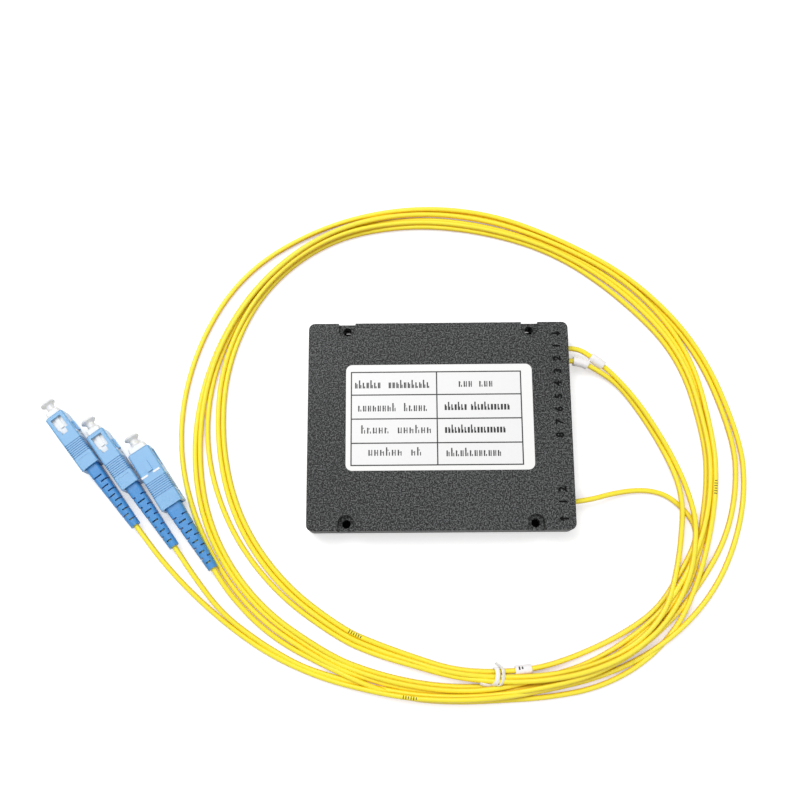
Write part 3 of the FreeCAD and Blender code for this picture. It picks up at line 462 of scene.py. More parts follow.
@dataclass
class CordCoil:
    """Three cords that leave the box, lie twice round in a loose coil, and end in plugs.

    Each row of a lap gives, at one angle in degrees, how far the input cord, output cord 2 and output
    cord 1 lie from the coil's middle in millimetres. At a row two cords may come as close as nearest, which
    lets them press into each other a little; between rows, and on the starts and ends, nothing keeps them
    apart. The laying order names each pass and cord by number, from the floor up.
    """

    diameter: float = 2.0
    nearest: float = 1.88
    tie_lift: float = 0.95
    tie_angles: tuple[int, ...] = (290, 280, 270)
    laying_order: tuple[tuple[int, int], ...] = (
        (0, 0), (1, 0), (1, 2), (2, 1), (1, 1), (2, 0), (2, 2), (0, 1), (0, 2))
    middle: tuple[float, float] = (4.0, -5.0)
    port_x: float = 50.0
    lengths: dict[Lead, float] = field(default_factory=lambda: {Lead.INPUT: 1.5, Lead.OUTPUT_2: 1.55,
                                                                Lead.OUTPUT_1: 1.6})
    starts: dict[Lead, list[Point]] = field(default_factory=lambda: {
        Lead.OUTPUT_1: [(45.3, 30.3, 5.0), (53.2, 31.2, 5.0), (60.0, 26.9, 4.5), (67.4, 20.9, 3.5),
                        (76.8, 10.0, 2.6), (85.6, -5.0, 2.5), (91.8, -18.6, 2.2), (94.9, -30.4, 3.1),
                        (95.9, -39.5, 3.2)],
        Lead.OUTPUT_2: [(45.3, 25.3, 5.0), (53.4, 26.2, 5.0), (62.0, 21.9, 3.6), (70.0, 16.6, 1.7),
                        (77.2, 6.8, 1.0), (85.3, -7.6, 1.0), (90.0, -20.5, 2.9), (91.2, -30.0, 3.2),
                        (90.9, -38.5, 1.8)],
        Lead.INPUT: [(45.3, -29.7, 5.0), (55.0, -28.8, 4.6), (65.0, -25.9, 2.4), (75.6, -24.3, 1.0),
                     (84.4, -25.6, 1.0), (90.6, -30.2, 1.0), (95.2, -36.0, 1.0), (96.3, -41.8, 1.0),
                     (93.8, -48.0, 1.0)],
    })
    joining: dict[int, Point] = field(default_factory=lambda: {
        330: (99.0, 97.2, 102.4), 320: (99.0, 101.3, 104.0), 310: (95.2, 100.9, 102.5),
        300: (92.0, 97.2, 98.7), 290: (89.8, 92.5, 94.2), 280: (86.9, 88.6, 90.3),
        270: (84.6, 85.9, 87.2), 260: (81.4, 83.1, 84.3), 250: (80.3, 82.3, 84.2)})
    first_lap: dict[int, Point] = field(default_factory=lambda: {
        240: (80.6, 82.5, 84.3), 220: (81.7, 83.7, 86.1), 200: (84.4, 86.4, 89.6),
        180: (86.9, 88.9, 93.5), 160: (91.3, 93.4, 96.0), 140: (95.0, 95.9, 96.8),
        120: (94.5, 95.3, 96.1), 100: (89.4, 91.0, 92.6), 80: (86.2, 87.5, 89.0),
        60: (86.8, 88.0, 89.4), 40: (88.5, 91.4, 93.4), 20: (95.0, 96.4, 98.0),
        0: (97.2, 98.2, 99.1), 350: (98.8, 99.7, 100.5), 340: (99.8, 100.8, 102.0),
        330: (104.2, 100.8, 102.4), 320: (103.2, 100.2, 101.8), 310: (101.3, 98.2, 99.8),
        300: (98.2, 96.2, 99.4), 290: (94.4, 93.2, 95.8), 280: (91.8, 92.9, 94.2),
        270: (90.8, 92.2, 93.6), 260: (90.2, 91.6, 92.9), 250: (90.4, 91.9, 93.4)})
    second_lap: dict[int, Point] = field(default_factory=lambda: {
        240: (91.0, 92.6, 94.2), 220: (93.9, 95.5, 97.8), 200: (96.2, 98.2, 100.4),
        180: (96.2, 98.3, 103.9), 160: (97.1, 98.1, 105.2), 140: (97.4, 98.3, 105.9),
        120: (96.8, 97.5, 100.9), 100: (94.2, 95.3, 96.3), 80: (91.2, 92.6, 93.9),
        60: (90.4, 91.4, 92.5), 40: (95.4, 96.3, 97.2), 20: (99.9, 102.4, 103.9),
        0: (100.0, 108.3, 110.8), 350: (101.4, 110.0, 113.3), 340: (103.2, 109.6, 113.5),
        330: (105.3, 107.1, 112.7), 320: (108.4, 105.1, 109.8), 310: (108.1, 103.2, 106.2),
        300: (105.3, 100.2, 101.8), 290: (100.5, 96.6, 97.8), 280: (96.9, 94.9, 95.8),
        270: (96.0, 94.2, 95.2), 260: (96.2, 94.5, 95.8), 250: (95.5, 96.0, 97.4)})
    ends: dict[Lead, list[Point]] = field(default_factory=lambda: {
        Lead.OUTPUT_1: [(-45.9, -92.2, 1.1), (-62.9, -84.7, 1.1), (-77.2, -75.3, 1.1), (-91.5, -63.3, 2.4),
                        (-104.06, -50.2, 4.4), (-114.55, -36.82, 4.5)],
        Lead.OUTPUT_2: [(-45.2, -90.8, 1.1), (-54.7, -87.1, 1.1), (-68.0, -79.4, 1.1), (-81.5, -69.35, 2.4),
                        (-91.7, -56.15, 4.4), (-99.7, -44.75, 4.5)],
        Lead.INPUT: [(-43.9, -87.9, 1.1), (-57.8, -81.0, 1.1), (-68.6, -73.0, 1.8), (-77.6, -63.5, 2.9),
                     (-81.7, -57.85, 3.7), (-85.05, -52.87, 3.7)],
    })

    def build(self, material: bpy.types.Material) -> dict[Lead, bpy.types.Object]:
        """Build the three cords and let them stand for the plain solids.

        Args:
            material: The jacket's material.

        Returns:
            Each cord's curve.
        """
        passes = (self.joining, self.first_lap, self.second_lap)
        heights = self._stack(passes)
        cords = {}
        for lane, lead in enumerate(Lead):
            route = list(self.starts[lead])
            rows = [(angle, radii[lane], heights[turn, lane, angle])
                    for turn, lap in enumerate(passes) for angle, radii in lap.items()]
            for i, (angle, radius, height) in enumerate(rows):
                before, after = rows[max(i - 1, 0)][0], rows[min(i + 1, len(rows) - 1)][0]
                step = ((before - after) % 360) / 2
                route.append(polar(angle, radius / math.cos(math.radians(step / 2)), height, self.middle))
            route += [*self.ends[lead], *self._into_boot(lead)]
            cords[lead] = self._curve(lead, route, material)
        return cords

    def _stack(self, passes: Sequence[dict[int, Point]]) -> dict[tuple[int, int, int], float]:
        """Lay the passes on the floor and on each other at each row's angle, each as low as it fits.

        Args:
            passes: The laps' tables, in the order in which a cord runs through them.

        Returns:
            The height of each cord's centre, by its pass, its place in the row and its angle.
        """
        found = {}
        for angle in sorted({angle for lap in passes for angle in lap}):
            placed: list[tuple[float, float]] = []
            for turn, lane in self.laying_order:
                if angle not in passes[turn]:
                    continue
                radius = passes[turn][angle][lane]
                floor = self.diameter / 2 + (self.tie_lift if turn == 0 and angle in self.tie_angles else 0.0)
                levels = [floor] + [below + math.sqrt(self.nearest ** 2 - (radius - other) ** 2)
                                    for other, below in placed if abs(radius - other) < self.nearest]
                height = next(level for level in sorted(levels) if level >= floor and all(
                    math.hypot(radius - other, level - below) >= self.nearest - 1e-6
                    for other, below in placed))
                placed.append((radius, height))
                found[turn, lane, angle] = height
        return found

    def _into_boot(self, lead: Lead) -> list[Point]:
        """The cord's last points, straight on through the boot to its crimp."""
        low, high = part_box(f"{lead.value}_jacket_end")
        end = Vector(self.ends[lead][-1]) * MM
        middle = (low + high) / 2
        inner = (middle * 2 - end) / MM
        return [tuple(middle / MM), tuple(inner)]

    def _curve(self, lead: Lead, route: Sequence[Point], material: bpy.types.Material) -> bpy.types.Object:
        """Lay one cord along its route.

        Args:
            lead: Which cord it is.
            route: Its control points in millimetres.
            material: The jacket's material.

        Returns:
            The cord's curve.
        """
        curve = bpy.data.curves.new(f"{lead.value}_cord", "CURVE")
        curve.dimensions = "3D"
        curve.resolution_u = 8
        curve.bevel_depth = 1.0
        curve.bevel_resolution = 5
        curve.use_fill_caps = True
        spline = curve.splines.new("NURBS")
        spline.points.add(len(route) - 1)
        for point, place in zip(spline.points, route):
            point.co = (*(value * MM for value in place), 1.0)
            point.radius = self.diameter / 2 * MM
        spline.order_u = 3
        spline.use_endpoint_u = True
        curve.materials.append(material)
        piece = bpy.data.objects.new(curve.name, curve)
        bpy.context.scene.collection.objects.link(piece)
        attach(piece, ROOT)
        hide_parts(f"{lead.value}_lead", f"{lead.value}_tail", f"{lead.value}_jacket_end",
                    "cord_coil")
        return piece


def centreline(curve: bpy.types.Object) -> list[Vector]:
    """Read the line that a cord follows, as points in metres."""
    depth = curve.data.bevel_depth
    curve.data.bevel_depth = 0.0
    bpy.context.view_layer.update()
    mesh = bpy.data.meshes.new_from_object(curve)
    line = [vertex.co.copy() for vertex in mesh.vertices]
    bpy.data.meshes.remove(mesh)
    curve.data.bevel_depth = depth
    return line


# ---------------------------------------------------------------------------- pieces on the cords
@dataclass
class CordLine:
    """The line that one cord follows, with its lengths, for the pieces along it."""

    line: list[Vector]
    lengths: list[float] = field(default_factory=list)

    def __post_init__(self) -> None:
        """Add up the length to each point."""
        self.lengths = [0.0]
        for before, after in zip(self.line, self.line[1:]):
            self.lengths.append(self.lengths[-1] + (after - before).length)

    def frame(self, distance: float) -> tuple[Vector, Vector, Vector, Vector]:
        """Find a place on the line, with the directions along, across and up there."""
        place, along = point_on(self.line, self.lengths, distance)
        across = along.cross(Vector((0, 0, 1))).normalized()
        return place, along, across, across.cross(along).normalized()

    def nearest(self, target: Point, after: float = 0.0, before: float = 10.0) -> float:
        """Find how far along the line it comes nearest to a place in plan, between two lengths."""
        aim = Vector(target[:2]) * MM
        return min((length for length in self.lengths if after <= length <= before),
                   key=lambda length: (self.frame(length)[0].xy - aim).length)


@dataclass
class Sleeve:
    """A short marker sleeve that is pushed over a cord, with plain marks on it or none."""

    name: str
    distance: float
    length: float = 6.1
    outside: float = 1.85
    inside: float = 1.02
    edge: float = 0.25
    corner: float = 0.3
    between: tuple[float, ...] = (0.3, 0.5, 0.7)
    marks: int = 0
    mark_shift: float = 1.2

    def build(self, cord: CordLine, white: bpy.types.Material,
              ink: bpy.types.Material) -> list[bpy.types.Object]:
        """Build the sleeve and the plain marks on it.

        Args:
            cord: The line of the cord that it is on.
            white: The sleeve's material.
            ink: The marks' material.

        Returns:
            The sleeve and its marks.
        """
        first, last = self.distance - self.length / 2 * MM, self.distance + self.length / 2 * MM
        total = cord.lengths[-1]
        edge = self.edge * MM
        outside, inside = self.outside * MM, self.inside * MM
        corner = edge * self.corner
        rings = [(first, inside), (first, outside - edge), (first + corner, outside - corner),
                 (first + edge, outside)]
        rings += [(first + (last - first) * share, outside) for share in self.between]
        rings += [(last - edge, outside), (last - corner, outside - corner), (last, outside - edge),
                  (last, inside)]
        rings += [(first + (last - first) * share, inside) for share in reversed(self.between)]
        sleeve = sweep(self.name, cord.line, [(place / total, radius) for place, radius in rings], white)
        for polygon in sleeve.data.polygons:
            polygon.use_smooth = True
        if not self.marks:
            return [sleeve]
        print_marks = JacketPrint(f"{self.name}_print", self.distance + self.mark_shift * MM,
                                  count=self.marks, radius=self.outside, width=0.6, pitch=1.1, reach=20.0,
                                  lean=28.0)
        return [sleeve, print_marks.build(cord, ink)]


@dataclass
class JacketPrint:
    """A few plain dashes printed across the top of a cord or sleeve."""

    name: str
    distance: float
    count: int = 6
    radius: float = 1.0
    width: float = 0.34
    pitch: float = 0.95
    reach: float = 38.0
    lean: float = 0.0
    short: float = 0.75
    thickness: float = 0.02
    sink: float = 0.1
    steps: int = 6

    def build(self, cord: CordLine, ink: bpy.types.Material) -> bpy.types.Object:
        """Build the dashes as thin curved plates on the surface.

        Args:
            cord: The line of the cord that it is on.
            ink: The ink's material.

        Returns:
            The dashes as one piece.
        """
        shape = bmesh.new()
        for mark in range(self.count):
            start = self.distance + (mark - self.count / 2) * self.pitch * MM
            reach = self.reach * (1.0 if mark % 3 else self.short)
            rows = []
            for place in (start, start + self.width * MM):
                centre, _, across, up = cord.frame(place)
                for radius in (self.radius - self.sink, self.radius + self.thickness):
                    row = []
                    for i in range(self.steps + 1):
                        turn = math.radians(self.lean - reach + 2 * reach * i / self.steps)
                        row.append(shape.verts.new(centre + (across * math.sin(turn) + up * math.cos(turn))
                                                   * radius * MM))
                    rows.append(row)
            low_start, high_start, low_end, high_end = rows
            for first, second in ((high_start, high_end), (low_end, low_start), (low_start, high_start),
                                  (high_end, low_end)):
                for i in range(self.steps):
                    shape.faces.new((first[i], first[i + 1], second[i + 1], second[i]))
            for i in (0, self.steps):
                shape.faces.new((low_start[i], high_start[i], high_end[i], low_end[i]))
        return add_mesh(self.name, shape, ink)


@dataclass
class TwistTie:
    """A flat plastic tie, wound round three cords with its two ends sticking out.

    The points of head and tail are steps along, across and above the cords from the wound part's two ends.
    """

    name: str = "wound_tie"
    width: float = 1.75
    thickness: float = 0.5
    clear: float = 0.03
    play: float = 0.12
    pitch: float = 3.2
    bulge: float = 1.5
    start_turn: float = 0.5
    end_turn: float = -1.0
    squareness: float = 3.0
    cord_radius: float = 1.0
    side_power: float = 0.5
    face_power: float = 0.8
    head: tuple[Point, ...] = ((4.4, 0.5, 0.5), (2.9, 0.1, 0.4), (1.3, -0.2, 0.1))
    tail: tuple[Point, ...] = ((0.0, 0.2, 0.7), (0.7, 1.0, 1.2), (2.0, 1.9, 1.3))
    steps: int = 60
    sides: int = 10

    def build(self, places: Sequence[tuple[Vector, Vector, Vector, Vector]], white: bpy.types.Material
              ) -> bpy.types.Object:
        """Build the tie round the cords where they pass through it.

        Args:
            places: Each cord's place there, with its directions along, across and up.
            white: The tie's material.

        Returns:
            The tie.
        """
        points = self._route(places)
        flats = self._flats(points, sum((place[1] for place in places), Vector()).normalized())
        rings = []
        for i, (point, flat) in enumerate(zip(points, flats)):
            outward = self._ahead(points, i).cross(flat).normalized()
            ring = []
            for step in range(self.sides):
                turn = math.tau * (step + 0.5) / self.sides
                wide = math.copysign(abs(math.cos(turn)) ** self.side_power, math.cos(turn))
                thick = math.copysign(abs(math.sin(turn)) ** self.face_power, math.sin(turn))
                corner = (point + flat * (wide * self.width / 2 * MM)
                          + outward * (thick * self.thickness / 2 * MM))
                corner.z = max(corner.z, self.clear * MM)
                ring.append(corner)
            rings.append(ring)
        return tube(self.name, rings, white)

    def _route(self, places: Sequence[tuple[Vector, Vector, Vector, Vector]]) -> list[Vector]:
        """Find the line of the tie's middle, from one end round the cords to the other."""
        along = sum((place[1] for place in places), Vector()).normalized()
        across = along.cross(Vector((0, 0, 1))).normalized()
        up = across.cross(along).normalized()
        middle = sum((place[0] for place in places), Vector()) / len(places)
        half = self.thickness / 2 * MM
        around = (self.cord_radius + self.play) * MM
        low, high = min(place[0].z for place in places) - around, max(place[0].z for place in places) + around
        sides = [(place[0] - middle).dot(across) for place in places]
        middle += across * (min(sides) + max(sides)) / 2
        middle.z = (low + high) / 2
        reach, rise = (max(sides) - min(sides)) / 2 + around, (high - low) / 2
        loop = []
        for i in range(self.steps + 1):
            share = i / self.steps
            turn = math.tau * (self.start_turn + (self.end_turn - self.start_turn) * share)
            side, top = math.cos(turn), math.sin(turn)
            square = (abs(side) ** self.squareness + abs(top) ** self.squareness) ** (-1 / self.squareness)
            offset = ((0.5 - share) * self.pitch - self.bulge * max(top, 0.0)) * MM
            loop.append(middle + across * side * square * (reach + half) + up * top * square * (rise + half)
                        + along * offset)
        head, tail = ([end + (along * ahead + across * aside + up * above) * MM
                       for ahead, aside, above in steps]
                      for end, steps in ((loop[0], self.head), (loop[-1], self.tail)))
        return head + loop + tail

    def _ahead(self, points: Sequence[Vector], i: int) -> Vector:
        """The direction of the line of points at one of them."""
        return (points[min(i + 1, len(points) - 1)] - points[max(i - 1, 0)]).normalized()

    def _flats(self, points: Sequence[Vector], along: Vector) -> list[Vector]:
        """Carry the direction of the tie's width from its middle to both ends without twisting it.

        Args:
            points: The line of the tie's middle.
            along: The direction of the cords.

        Returns:
            The direction of the width at each point.
        """
        flats = {len(points) // 2: along}
        for way in (1, -1):
            i = len(points) // 2
            while 0 <= i < len(points):
                ahead = self._ahead(points, i)
                before = flats.get(i - way, along) if i != len(points) // 2 else along
                flats[i] = (before - ahead * before.dot(ahead)).normalized()
                i += way
        return [flats[i] for i in range(len(points))]


# ---------------------------------------------------------------------------- box print
def plates(name: str, boxes: Iterable[tuple[Point, Point]], material: bpy.types.Material) -> bpy.types.Object:
    """Build thin plates from their lowest and highest corners in millimetres, as one piece.

    Args:
        name: The piece's name.
        boxes: Each plate's two corners.
        material: The piece's material.

    Returns:
        The new object.
    """
    shape = bmesh.new()
    for low, high in boxes:
        middle = (Vector(low) + Vector(high)) / 2 * MM
        size = (Vector(high) - Vector(low)) * MM
        bmesh.ops.create_cube(shape, size=1.0, matrix=Matrix.Translation(middle)
                              @ Matrix.Diagonal((*size, 1.0)))
    return add_mesh(name, shape, material)


@dataclass
class LabelPrint:
    """The ruled table on the label, with rows of plain ticks in place of words."""

    left: float = -33.4
    right: float = 31.1
    column: float = -0.9
    rows: tuple[float, ...] = (20.3, 11.4, 2.1, -7.2, -15.6)
    line: float = 0.48
    tall: float = 3.2
    short: float = 2.25
    stroke: float = 0.52
    thin: float = 0.36
    gap: float = 0.1
    tick_share: float = 0.66
    sink: float = 0.01
    cell_rise: float = 0.01
    row_rise: float = 0.015
    column_rise: float = 0.016
    tick_rise: float = 0.017
    levels: tuple[tuple[float, float], ...] = ((0.6, 1.9), (1.0, 0.2), (0.75, 1.1), (0.35, 1.6), (1.0, 0.9))
    words: tuple[tuple[float, float, float, int], ...] = (
        (-32.0, 15.6, 1.45, 7), (-19.2, 15.6, 1.45, 11), (7.5, 15.9, 1.87, 3), (15.3, 15.9, 1.87, 3),
        (-30.8, 6.6, 1.85, 8), (-13.4, 6.6, 1.85, 5), (2.0, 6.9, 1.25, 7), (12.0, 6.9, 1.25, 12),
        (-29.6, -1.9, 2.2, 5), (-15.8, -1.9, 2.2, 6), (2.0, -1.9, 1.22, 19),
        (-26.9, -10.4, 2.2, 6), (-10.8, -10.4, 2.2, 2), (2.4, -10.8, 1.75, 12))

    def build(self, top: float, cell: bpy.types.Material, ink: bpy.types.Material) -> list[bpy.types.Object]:
        """Build the cells, the ruled lines and the ticks.

        Args:
            top: The height of the label's face in millimetres.
            cell: The cells' material.
            ink: The ink's material.

        Returns:
            The cells and the printing.
        """
        half = self.line / 2
        edges = (self.left, self.column, self.right)
        foot = top - self.sink
        cells = [((x0 + half, y1 + half, foot), (x1 - half, y0 - half, top + self.cell_rise))
                 for y0, y1 in zip(self.rows, self.rows[1:]) for x0, x1 in zip(edges, edges[1:])]
        lines = [((self.left - half, y - half, foot), (self.right + half, y + half, top + self.row_rise))
                 for y in self.rows]
        lines += [((x - half, self.rows[-1] - half, foot),
                   (x + half, self.rows[0] + half, top + self.column_rise)) for x in edges]
        ticks = []
        for left, middle, pitch, count in self.words:
            start = middle - self.tall / 2
            for i in range(count):
                kind = (i * 3 + i // 4 + count) % len(self.levels)
                share, level = self.levels[kind]
                x, end = left + i * pitch, left + (i + self.tick_share) * pitch
                bars = [(x, start, x + self.stroke, start + (self.short if kind else self.tall)),
                        (end - self.thin, start, end, start + self.short * share)]
                if end - x > 2 * self.stroke:
                    bars.append((x + self.stroke + self.gap, start + level, end - self.thin - self.gap,
                                 start + level + self.thin))
                ticks += [((x0, y0, foot), (x1, y1, top + self.tick_rise)) for x0, y0, x1, y1 in bars]
        return [plates("label_cells", cells, cell), plates("label_lines", lines, ink),
                plates("label_ticks", ticks, ink)]


@dataclass
class PortMarks:
    """Raised port numbers down the right side of the cover, and an arrow at each end of them."""

    x: float = 45.4
    first: float = 30.3
    pitch: float = 4.97
    outputs: int = 8
    inputs: tuple[tuple[str, float], ...] = (("2", -25.0), ("1", -29.65))
    size: float = 3.9
    weight: float = 0.13
    rise: float = 0.14
    sink: float = 0.02
    shaft: float = 0.3
    wing: float = 1.15
    neck: float = 0.2
    arrows: tuple[tuple[float, float, float], ...] = ((35.2, 3.6, 1.0), (-35.9, 3.6, -1.0))

    def build(self, top: float, material: bpy.types.Material) -> bpy.types.Object:
        """Build the marks as one piece.

        Args:
            top: The height of the cover's face in millimetres.
            material: The marks' material.

        Returns:
            The marks.
        """
        shape = bmesh.new()
        marks = [(str(number + 1), self.first - number * self.pitch) for number in range(self.outputs)]
        for text, y in [*marks, *self.inputs]:
            self._digit(shape, text, y, top)
        for y, length, way in self.arrows:
            self._arrow(shape, y, length, way, top)
        return add_mesh("port_marks", shape, material)

    def _digit(self, shape: bmesh.types.BMesh, text: str, y: float, top: float) -> None:
        """Add one number, turned to read from the right."""
        data = bpy.data.curves.new("number", "FONT")
        data.body = text
        data.size = self.size * MM
        data.extrude = self.rise / 2 * MM
        data.offset = self.weight * MM
        data.align_x = "CENTER"
        data.align_y = "CENTER"
        data.resolution_u = 3
        text_piece = bpy.data.objects.new("number", data)
        bpy.context.scene.collection.objects.link(text_piece)
        bpy.context.view_layer.update()
        mesh = bpy.data.meshes.new_from_object(text_piece)
        mesh.transform(Matrix.Translation(Vector((self.x, y, top + self.rise / 2 - self.sink)) * MM)
                       @ Matrix.Rotation(math.radians(90), 4, "Z"))
        shape.from_mesh(mesh)
        bpy.data.meshes.remove(mesh)
        bpy.data.objects.remove(text_piece)
        bpy.data.curves.remove(data)

    def _arrow(self, shape: bmesh.types.BMesh, y: float, length: float, way: float, top: float) -> None:
        """Add one arrow, which points towards the ports or away from them."""
        half, shaft, wing, neck = length / 2, self.shaft, self.wing, self.neck
        outline = [(-half, -shaft), (neck, -shaft), (neck, -wing), (half, 0.0), (neck, wing), (neck, shaft),
                   (-half, shaft)]
        low, high = ([shape.verts.new(Vector((self.x + across * way, y + along, top + z)) * MM)
                      for across, along in outline] for z in (-self.sink, self.rise - self.sink))
        shape.faces.new(low)
        shape.faces.new(high)
        for i in range(len(outline)):
            j = (i + 1) % len(outline)
            shape.faces.new((low[i], low[j], high[j], high[i]))


# ---------------------------------------------------------------------------- plugs
PLUG_PARTS = ("outer_housing", "plug_frame", "ferrule", "ferrule_collar", "back_post", "crimp_ring", "boot",
              "dust_cap")


@dataclass
class PlugPlates:
    """Two white plates on the key side of a plug's sliding housing."""

    front: Point
    heading: float
    roll: float
    face: float = 3.7
    near: float = -10.25
    far: float = -11.0
    spans: tuple[tuple[float, float], ...] = ((1.6, 4.35), (-3.45, -0.7))
    rise: float = 0.12
    sink: float = 0.05

    def build(self, lead: Lead, white: bpy.types.Material) -> bpy.types.Object:
        """Build the plates as one piece and turn them to the plug.

        Args:
            lead: The plug's cord.
            white: The plates' material.

        Returns:
            The plates.
        """
        boxes = [((self.far, low, self.face - self.sink), (self.near, high, self.face + self.rise))
                 for low, high in self.spans]
        piece = plates(f"{lead.value}_key_plates", boxes, white)
        piece.data.transform(Matrix.Translation(Vector(self.front) * MM)
                             @ Matrix.Rotation(math.radians(self.heading), 4, "Z")
                             @ Matrix.Rotation(math.radians(self.roll), 4, "X"))
        return piece


@dataclass
class PressSpring:
    """The open coil spring behind a plug's ferrule."""

    front: Point
    heading: float
    near: float = -7.98
    far: float = -12.25
    wire: float = 0.4
    radius: float = 1.9
    turns: int = 4
    travel: float = 1.0
    slack: float = 0.05
    steps: int = 24
    sides: int = 10

    def build(self, lead: Lead, steel: bpy.types.Material) -> bpy.types.Object:
        """Build the spring as a wound wire.

        Args:
            lead: The plug's cord.
            steel: The wire's material.

        Returns:
            The spring.
        """
        turn_to = Matrix.Rotation(math.radians(self.heading), 3, "Z")
        axis = turn_to @ Vector((1.0, 0.0, 0.0))
        start, run = self.far + self.wire / 2, self.near - self.far - self.wire
        rings = []
        for step in range(self.turns * self.steps + 1):
            turn = math.tau * step / self.steps
            outward = Vector((0.0, math.cos(turn), math.sin(turn)))
            centre = Vector((start + run * step / (self.turns * self.steps), 0.0, 0.0))
            centre += outward * self.radius
            rings.append([(Vector(self.front) + turn_to @ (centre + (
                outward * math.cos(angle) + Vector((1.0, 0.0, 0.0)) * math.sin(angle)) * self.wire / 2)) * MM
                for angle in (math.tau * side / self.sides for side in range(self.sides))])
        piece = tube(f"{lead.value}_wound_spring", rings, steel)
        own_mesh(piece)
        return piece


# Each plug: the middle of its housing's front in millimetres, its heading and its roll in degrees.
PLUG_LAY = {
    Lead.OUTPUT_1: ((-147.5, 5.2, 4.5), 128.1, 90.0),
    Lead.OUTPUT_2: ((-131.46, -1.82, 4.5), 126.5, 90.0),
    Lead.INPUT: ((-114.83, -8.55, 3.7), 123.9, 0.0),
}


# Where the sleeves are, in plan in millimetres; each printed stretch and the tie lie at an angle and radius
# about the coil's middle. How far along its cord each is looked for is in metres.
SLEEVES = {Lead.OUTPUT_1: (61.8, 25.5, 0.0), Lead.OUTPUT_2: (55.2, 24.9, 0.0), Lead.INPUT: (28.3, -88.1, 0.0)}
PRINTS = ((Lead.INPUT, 349.5, 101.4, 0.85), (Lead.OUTPUT_1, 119.0, 96.2, 0.3), (Lead.INPUT, 243.0, 80.3, 0.1),
          (Lead.OUTPUT_1, 260.0, 94.6, 1.0))
TIE_AT = (280.1, 88.5)
SLEEVE_BEFORE, PRINT_STRETCH, TIE_BEFORE = 0.32, 0.62, 0.4


# ---------------------------------------------------------------------------- stage
@dataclass
class Studio:
    """A white floor, soft light from above and a camera that looks down."""

    camera_place: Point = (-11.31, -69.73, 362.19)
    camera_turn: Point = (12.66, 0.663, -0.345)
    lens: float = 42.75
    sensor: float = 36.0
    floor_size: float = 3.0
    floor_glow: float = 0.36
    far_glow: float = 0.7
    fade: tuple[float, float] = (0.3, 1.4)
    floor_shown: float = 1.0
    floor_bounce: float = 0.4
    # Painted shade: the floor's colour under the box's footprint.
    painted_floor_shade: float = 0.03
    floor_margin: float = 1.5
    world_level: float = 0.45
    lamps: tuple[tuple[str, Point, float, float], ...] = (("key", (-0.33, 0.43, 0.82), 0.7, 6.2),
                                                          ("fill", (0.45, -0.35, 0.75), 0.5, 1.5))

    def build(self, covered: tuple[Vector, Vector]) -> None:
        """Build the floor, the lights, the world and the camera.

        Args:
            covered: The lowest and highest corner of the piece that covers the floor most, under which the
                floor gets painted shade.
        """
        scene = bpy.context.scene
        scene.view_settings.view_transform = "Standard"
        self._floor(covered)
        self._world(scene)
        for lamp in self.lamps:
            self._light(*lamp)
        data = bpy.data.cameras.new("camera")
        data.lens = self.lens
        data.sensor_width = self.sensor
        data.clip_start = 0.01
        camera = bpy.data.objects.new("camera", data)
        camera.location = Vector(self.camera_place) * MM
        camera.rotation_euler = Euler([math.radians(angle) for angle in self.camera_turn])
        scene.collection.objects.link(camera)
        scene.camera = camera

    def _floor(self, covered: tuple[Vector, Vector]) -> None:
        """Build a pale floor that shows white to the camera and keeps its shadows, with painted shade under
        the covering piece.

        Args:
            covered: The corners of the piece under which the floor gets painted shade: a dark colour and no
                glow.
        """
        shape = bmesh.new()
        bmesh.ops.create_grid(shape, x_segments=1, y_segments=1, size=self.floor_size)
        graph = Graph("floor")
        place = graph.node("TexCoord", {}, {}, "Object")
        # Painted shade: under the box the floor takes a dark colour and no glow; outside it this mask is one.
        outside_painted_shade = 1 - self._within(graph, place, covered, 0) * self._within(graph, place, covered, 1)
        seen = graph.seen() * outside_painted_shade
        distance = graph.node("VectorMath", {"operation": "LENGTH"}, {0: place}, "Value")
        far = graph.node("MapRange", {}, {0: distance, 1: self.fade[0], 2: self.fade[1], 3: self.floor_glow,
                                          4: self.far_glow})
        glow = graph.blend(seen * far, (0.0, 0.0, 0.0), (1.0, 1.0, 1.0))
        shown = graph.blend(seen, (self.floor_bounce,) * 3, (self.floor_shown,) * 3)
        base = graph.blend(outside_painted_shade, (self.painted_floor_shade,) * 3, shown)
        graph.surface(Base_Color=base, Roughness=0.9, Specular_IOR_Level=0.0, Emission_Color=glow,
                      Emission_Strength=1.0)
        floor = add_mesh("floor", shape, graph.material)

    def _within(self, graph: Graph, place: Wire, covered: tuple[Vector, Vector], axis: int) -> Wire:
        """A mask that is one where the floor is under the covered stretch of one axis."""
        along = graph.node("SeparateXYZ", {}, {0: place}, axis)
        low, high = (corner[axis] + way * self.floor_margin * MM for corner, way in zip(covered, (1, -1)))
        return (along > low) * (along < high)

    def _world(self, scene: bpy.types.Scene) -> None:
        """Build a plain world that lights softly and shows white to the camera."""
        graph = Graph("world", world=True)
        scene.world = graph.surface(Color=(1.0, 1.0, 1.0, 1.0),
                                    Strength=self.world_level + graph.seen() * (1 - self.world_level))

    def _light(self, name: str, place: Point, size: float, power: float) -> None:
        """Add a soft square lamp that points at the object."""
        data = bpy.data.lights.new(name, "AREA")
        data.size = size
        data.energy = power
        lamp = bpy.data.objects.new(name, data)
        lamp.location = place
        lamp.rotation_euler = (-Vector(place)).to_track_quat("-Z", "Y").to_euler()
        bpy.context.scene.collection.objects.link(lamp)


def dress_nodes(frame: dict[str, Any], materials: dict[str, bpy.types.Material]) -> None:
    """Give every fixed piece the material of its slot."""
    for entry in frame["record"]["subparts"]:
        piece = frame["nodes"][entry["node"]]
        piece.data.materials.clear()
        piece.data.materials.append(materials[entry["material_slot"]])


def ride_on(body: str, slot: str, *pieces: bpy.types.Object) -> None:
    """Let pieces ride on a body."""
    for piece in pieces:
        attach(piece, body)
        LOG.info("built %s", piece.name)


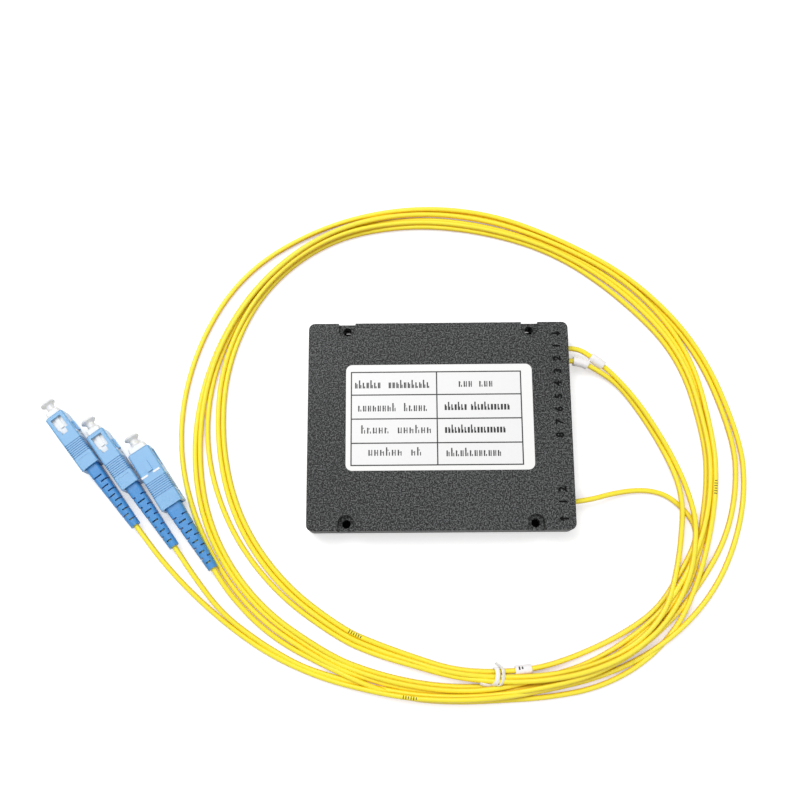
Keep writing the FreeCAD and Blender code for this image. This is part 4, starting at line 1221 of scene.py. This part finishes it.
def main() -> None:
    """Build the looks around the fixed frame."""
    logging.basicConfig(level=logging.INFO, format="%(name)s: %(message)s")
    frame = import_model()
    materials = {finish.name: finish.material() for finish in FINISHES}
    dress_nodes(frame, materials)
    coil = CordCoil()
    cords = coil.build(materials["cord_yellow"])
    lines = {lead: CordLine(centreline(piece)) for lead, piece in cords.items()}
    carried: dict[Lead, list[Any]] = {lead: [f"{lead.value}_{part}" for part in PLUG_PARTS] for lead in Lead}

    for lead, place in SLEEVES.items():
        line = lines[lead]
        sleeve = Sleeve(f"{lead.value}_sleeve", line.nearest(place, before=SLEEVE_BEFORE),
                        marks=2 if lead is Lead.INPUT else 0)
        pieces = sleeve.build(line, materials["marker_white"], materials["print_ink"])
        ride_on(ROOT, "marker_white", *pieces)
        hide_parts(f"{lead.value}_marker")
        carried[lead] += pieces
    for number, (lead, angle, radius, after) in enumerate(PRINTS):
        line = lines[lead]
        distance = line.nearest(polar(angle, radius, 0.0, coil.middle), after, after + PRINT_STRETCH)
        piece = JacketPrint(f"{lead.value}_print_{number}", distance).build(line, materials["jacket_ink"])
        ride_on(ROOT, "cord_yellow", piece)
        carried[lead].append(piece)
    tie_place = polar(*TIE_AT, 0.0, coil.middle)
    tie_frames = [line.frame(line.nearest(tie_place, before=TIE_BEFORE)) for line in lines.values()]
    tie = TwistTie().build(tie_frames, materials["tie_white"])
    ride_on(ROOT, "tie_white", tie)
    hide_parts("twist_tie")
    carried[Lead.INPUT].append(tie)

    label_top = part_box("label")[1].z / MM
    cover_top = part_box("top_cover")[1].z / MM
    ride_on(ROOT, "label_film",
            *LabelPrint().build(label_top, materials["label_cell"], materials["print_ink"]))
    ride_on(ROOT, "box_plastic", PortMarks().build(cover_top, materials["mark_plastic"]))
    for lead, (front, heading, roll) in PLUG_LAY.items():
        piece = PlugPlates(front, heading, roll).build(lead, materials["frame_white"])
        ride_on(f"{lead.value}_outer_housing_slide", "frame_white", piece)
        spring = PressSpring(front, heading).build(lead, materials["spring_steel"])
        ride_on(ROOT, "spring_steel", spring)
        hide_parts(f"{lead.value}_spring")
        carried[lead] += [piece, spring]

    for lead, piece in cords.items():
        LOG.info("%s is %.3f m long", piece.name, lines[lead].lengths[-1])
    Studio().build(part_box("top_cover"))
    bpy.context.view_layer.update()


if __name__ == "__main__":
    main()
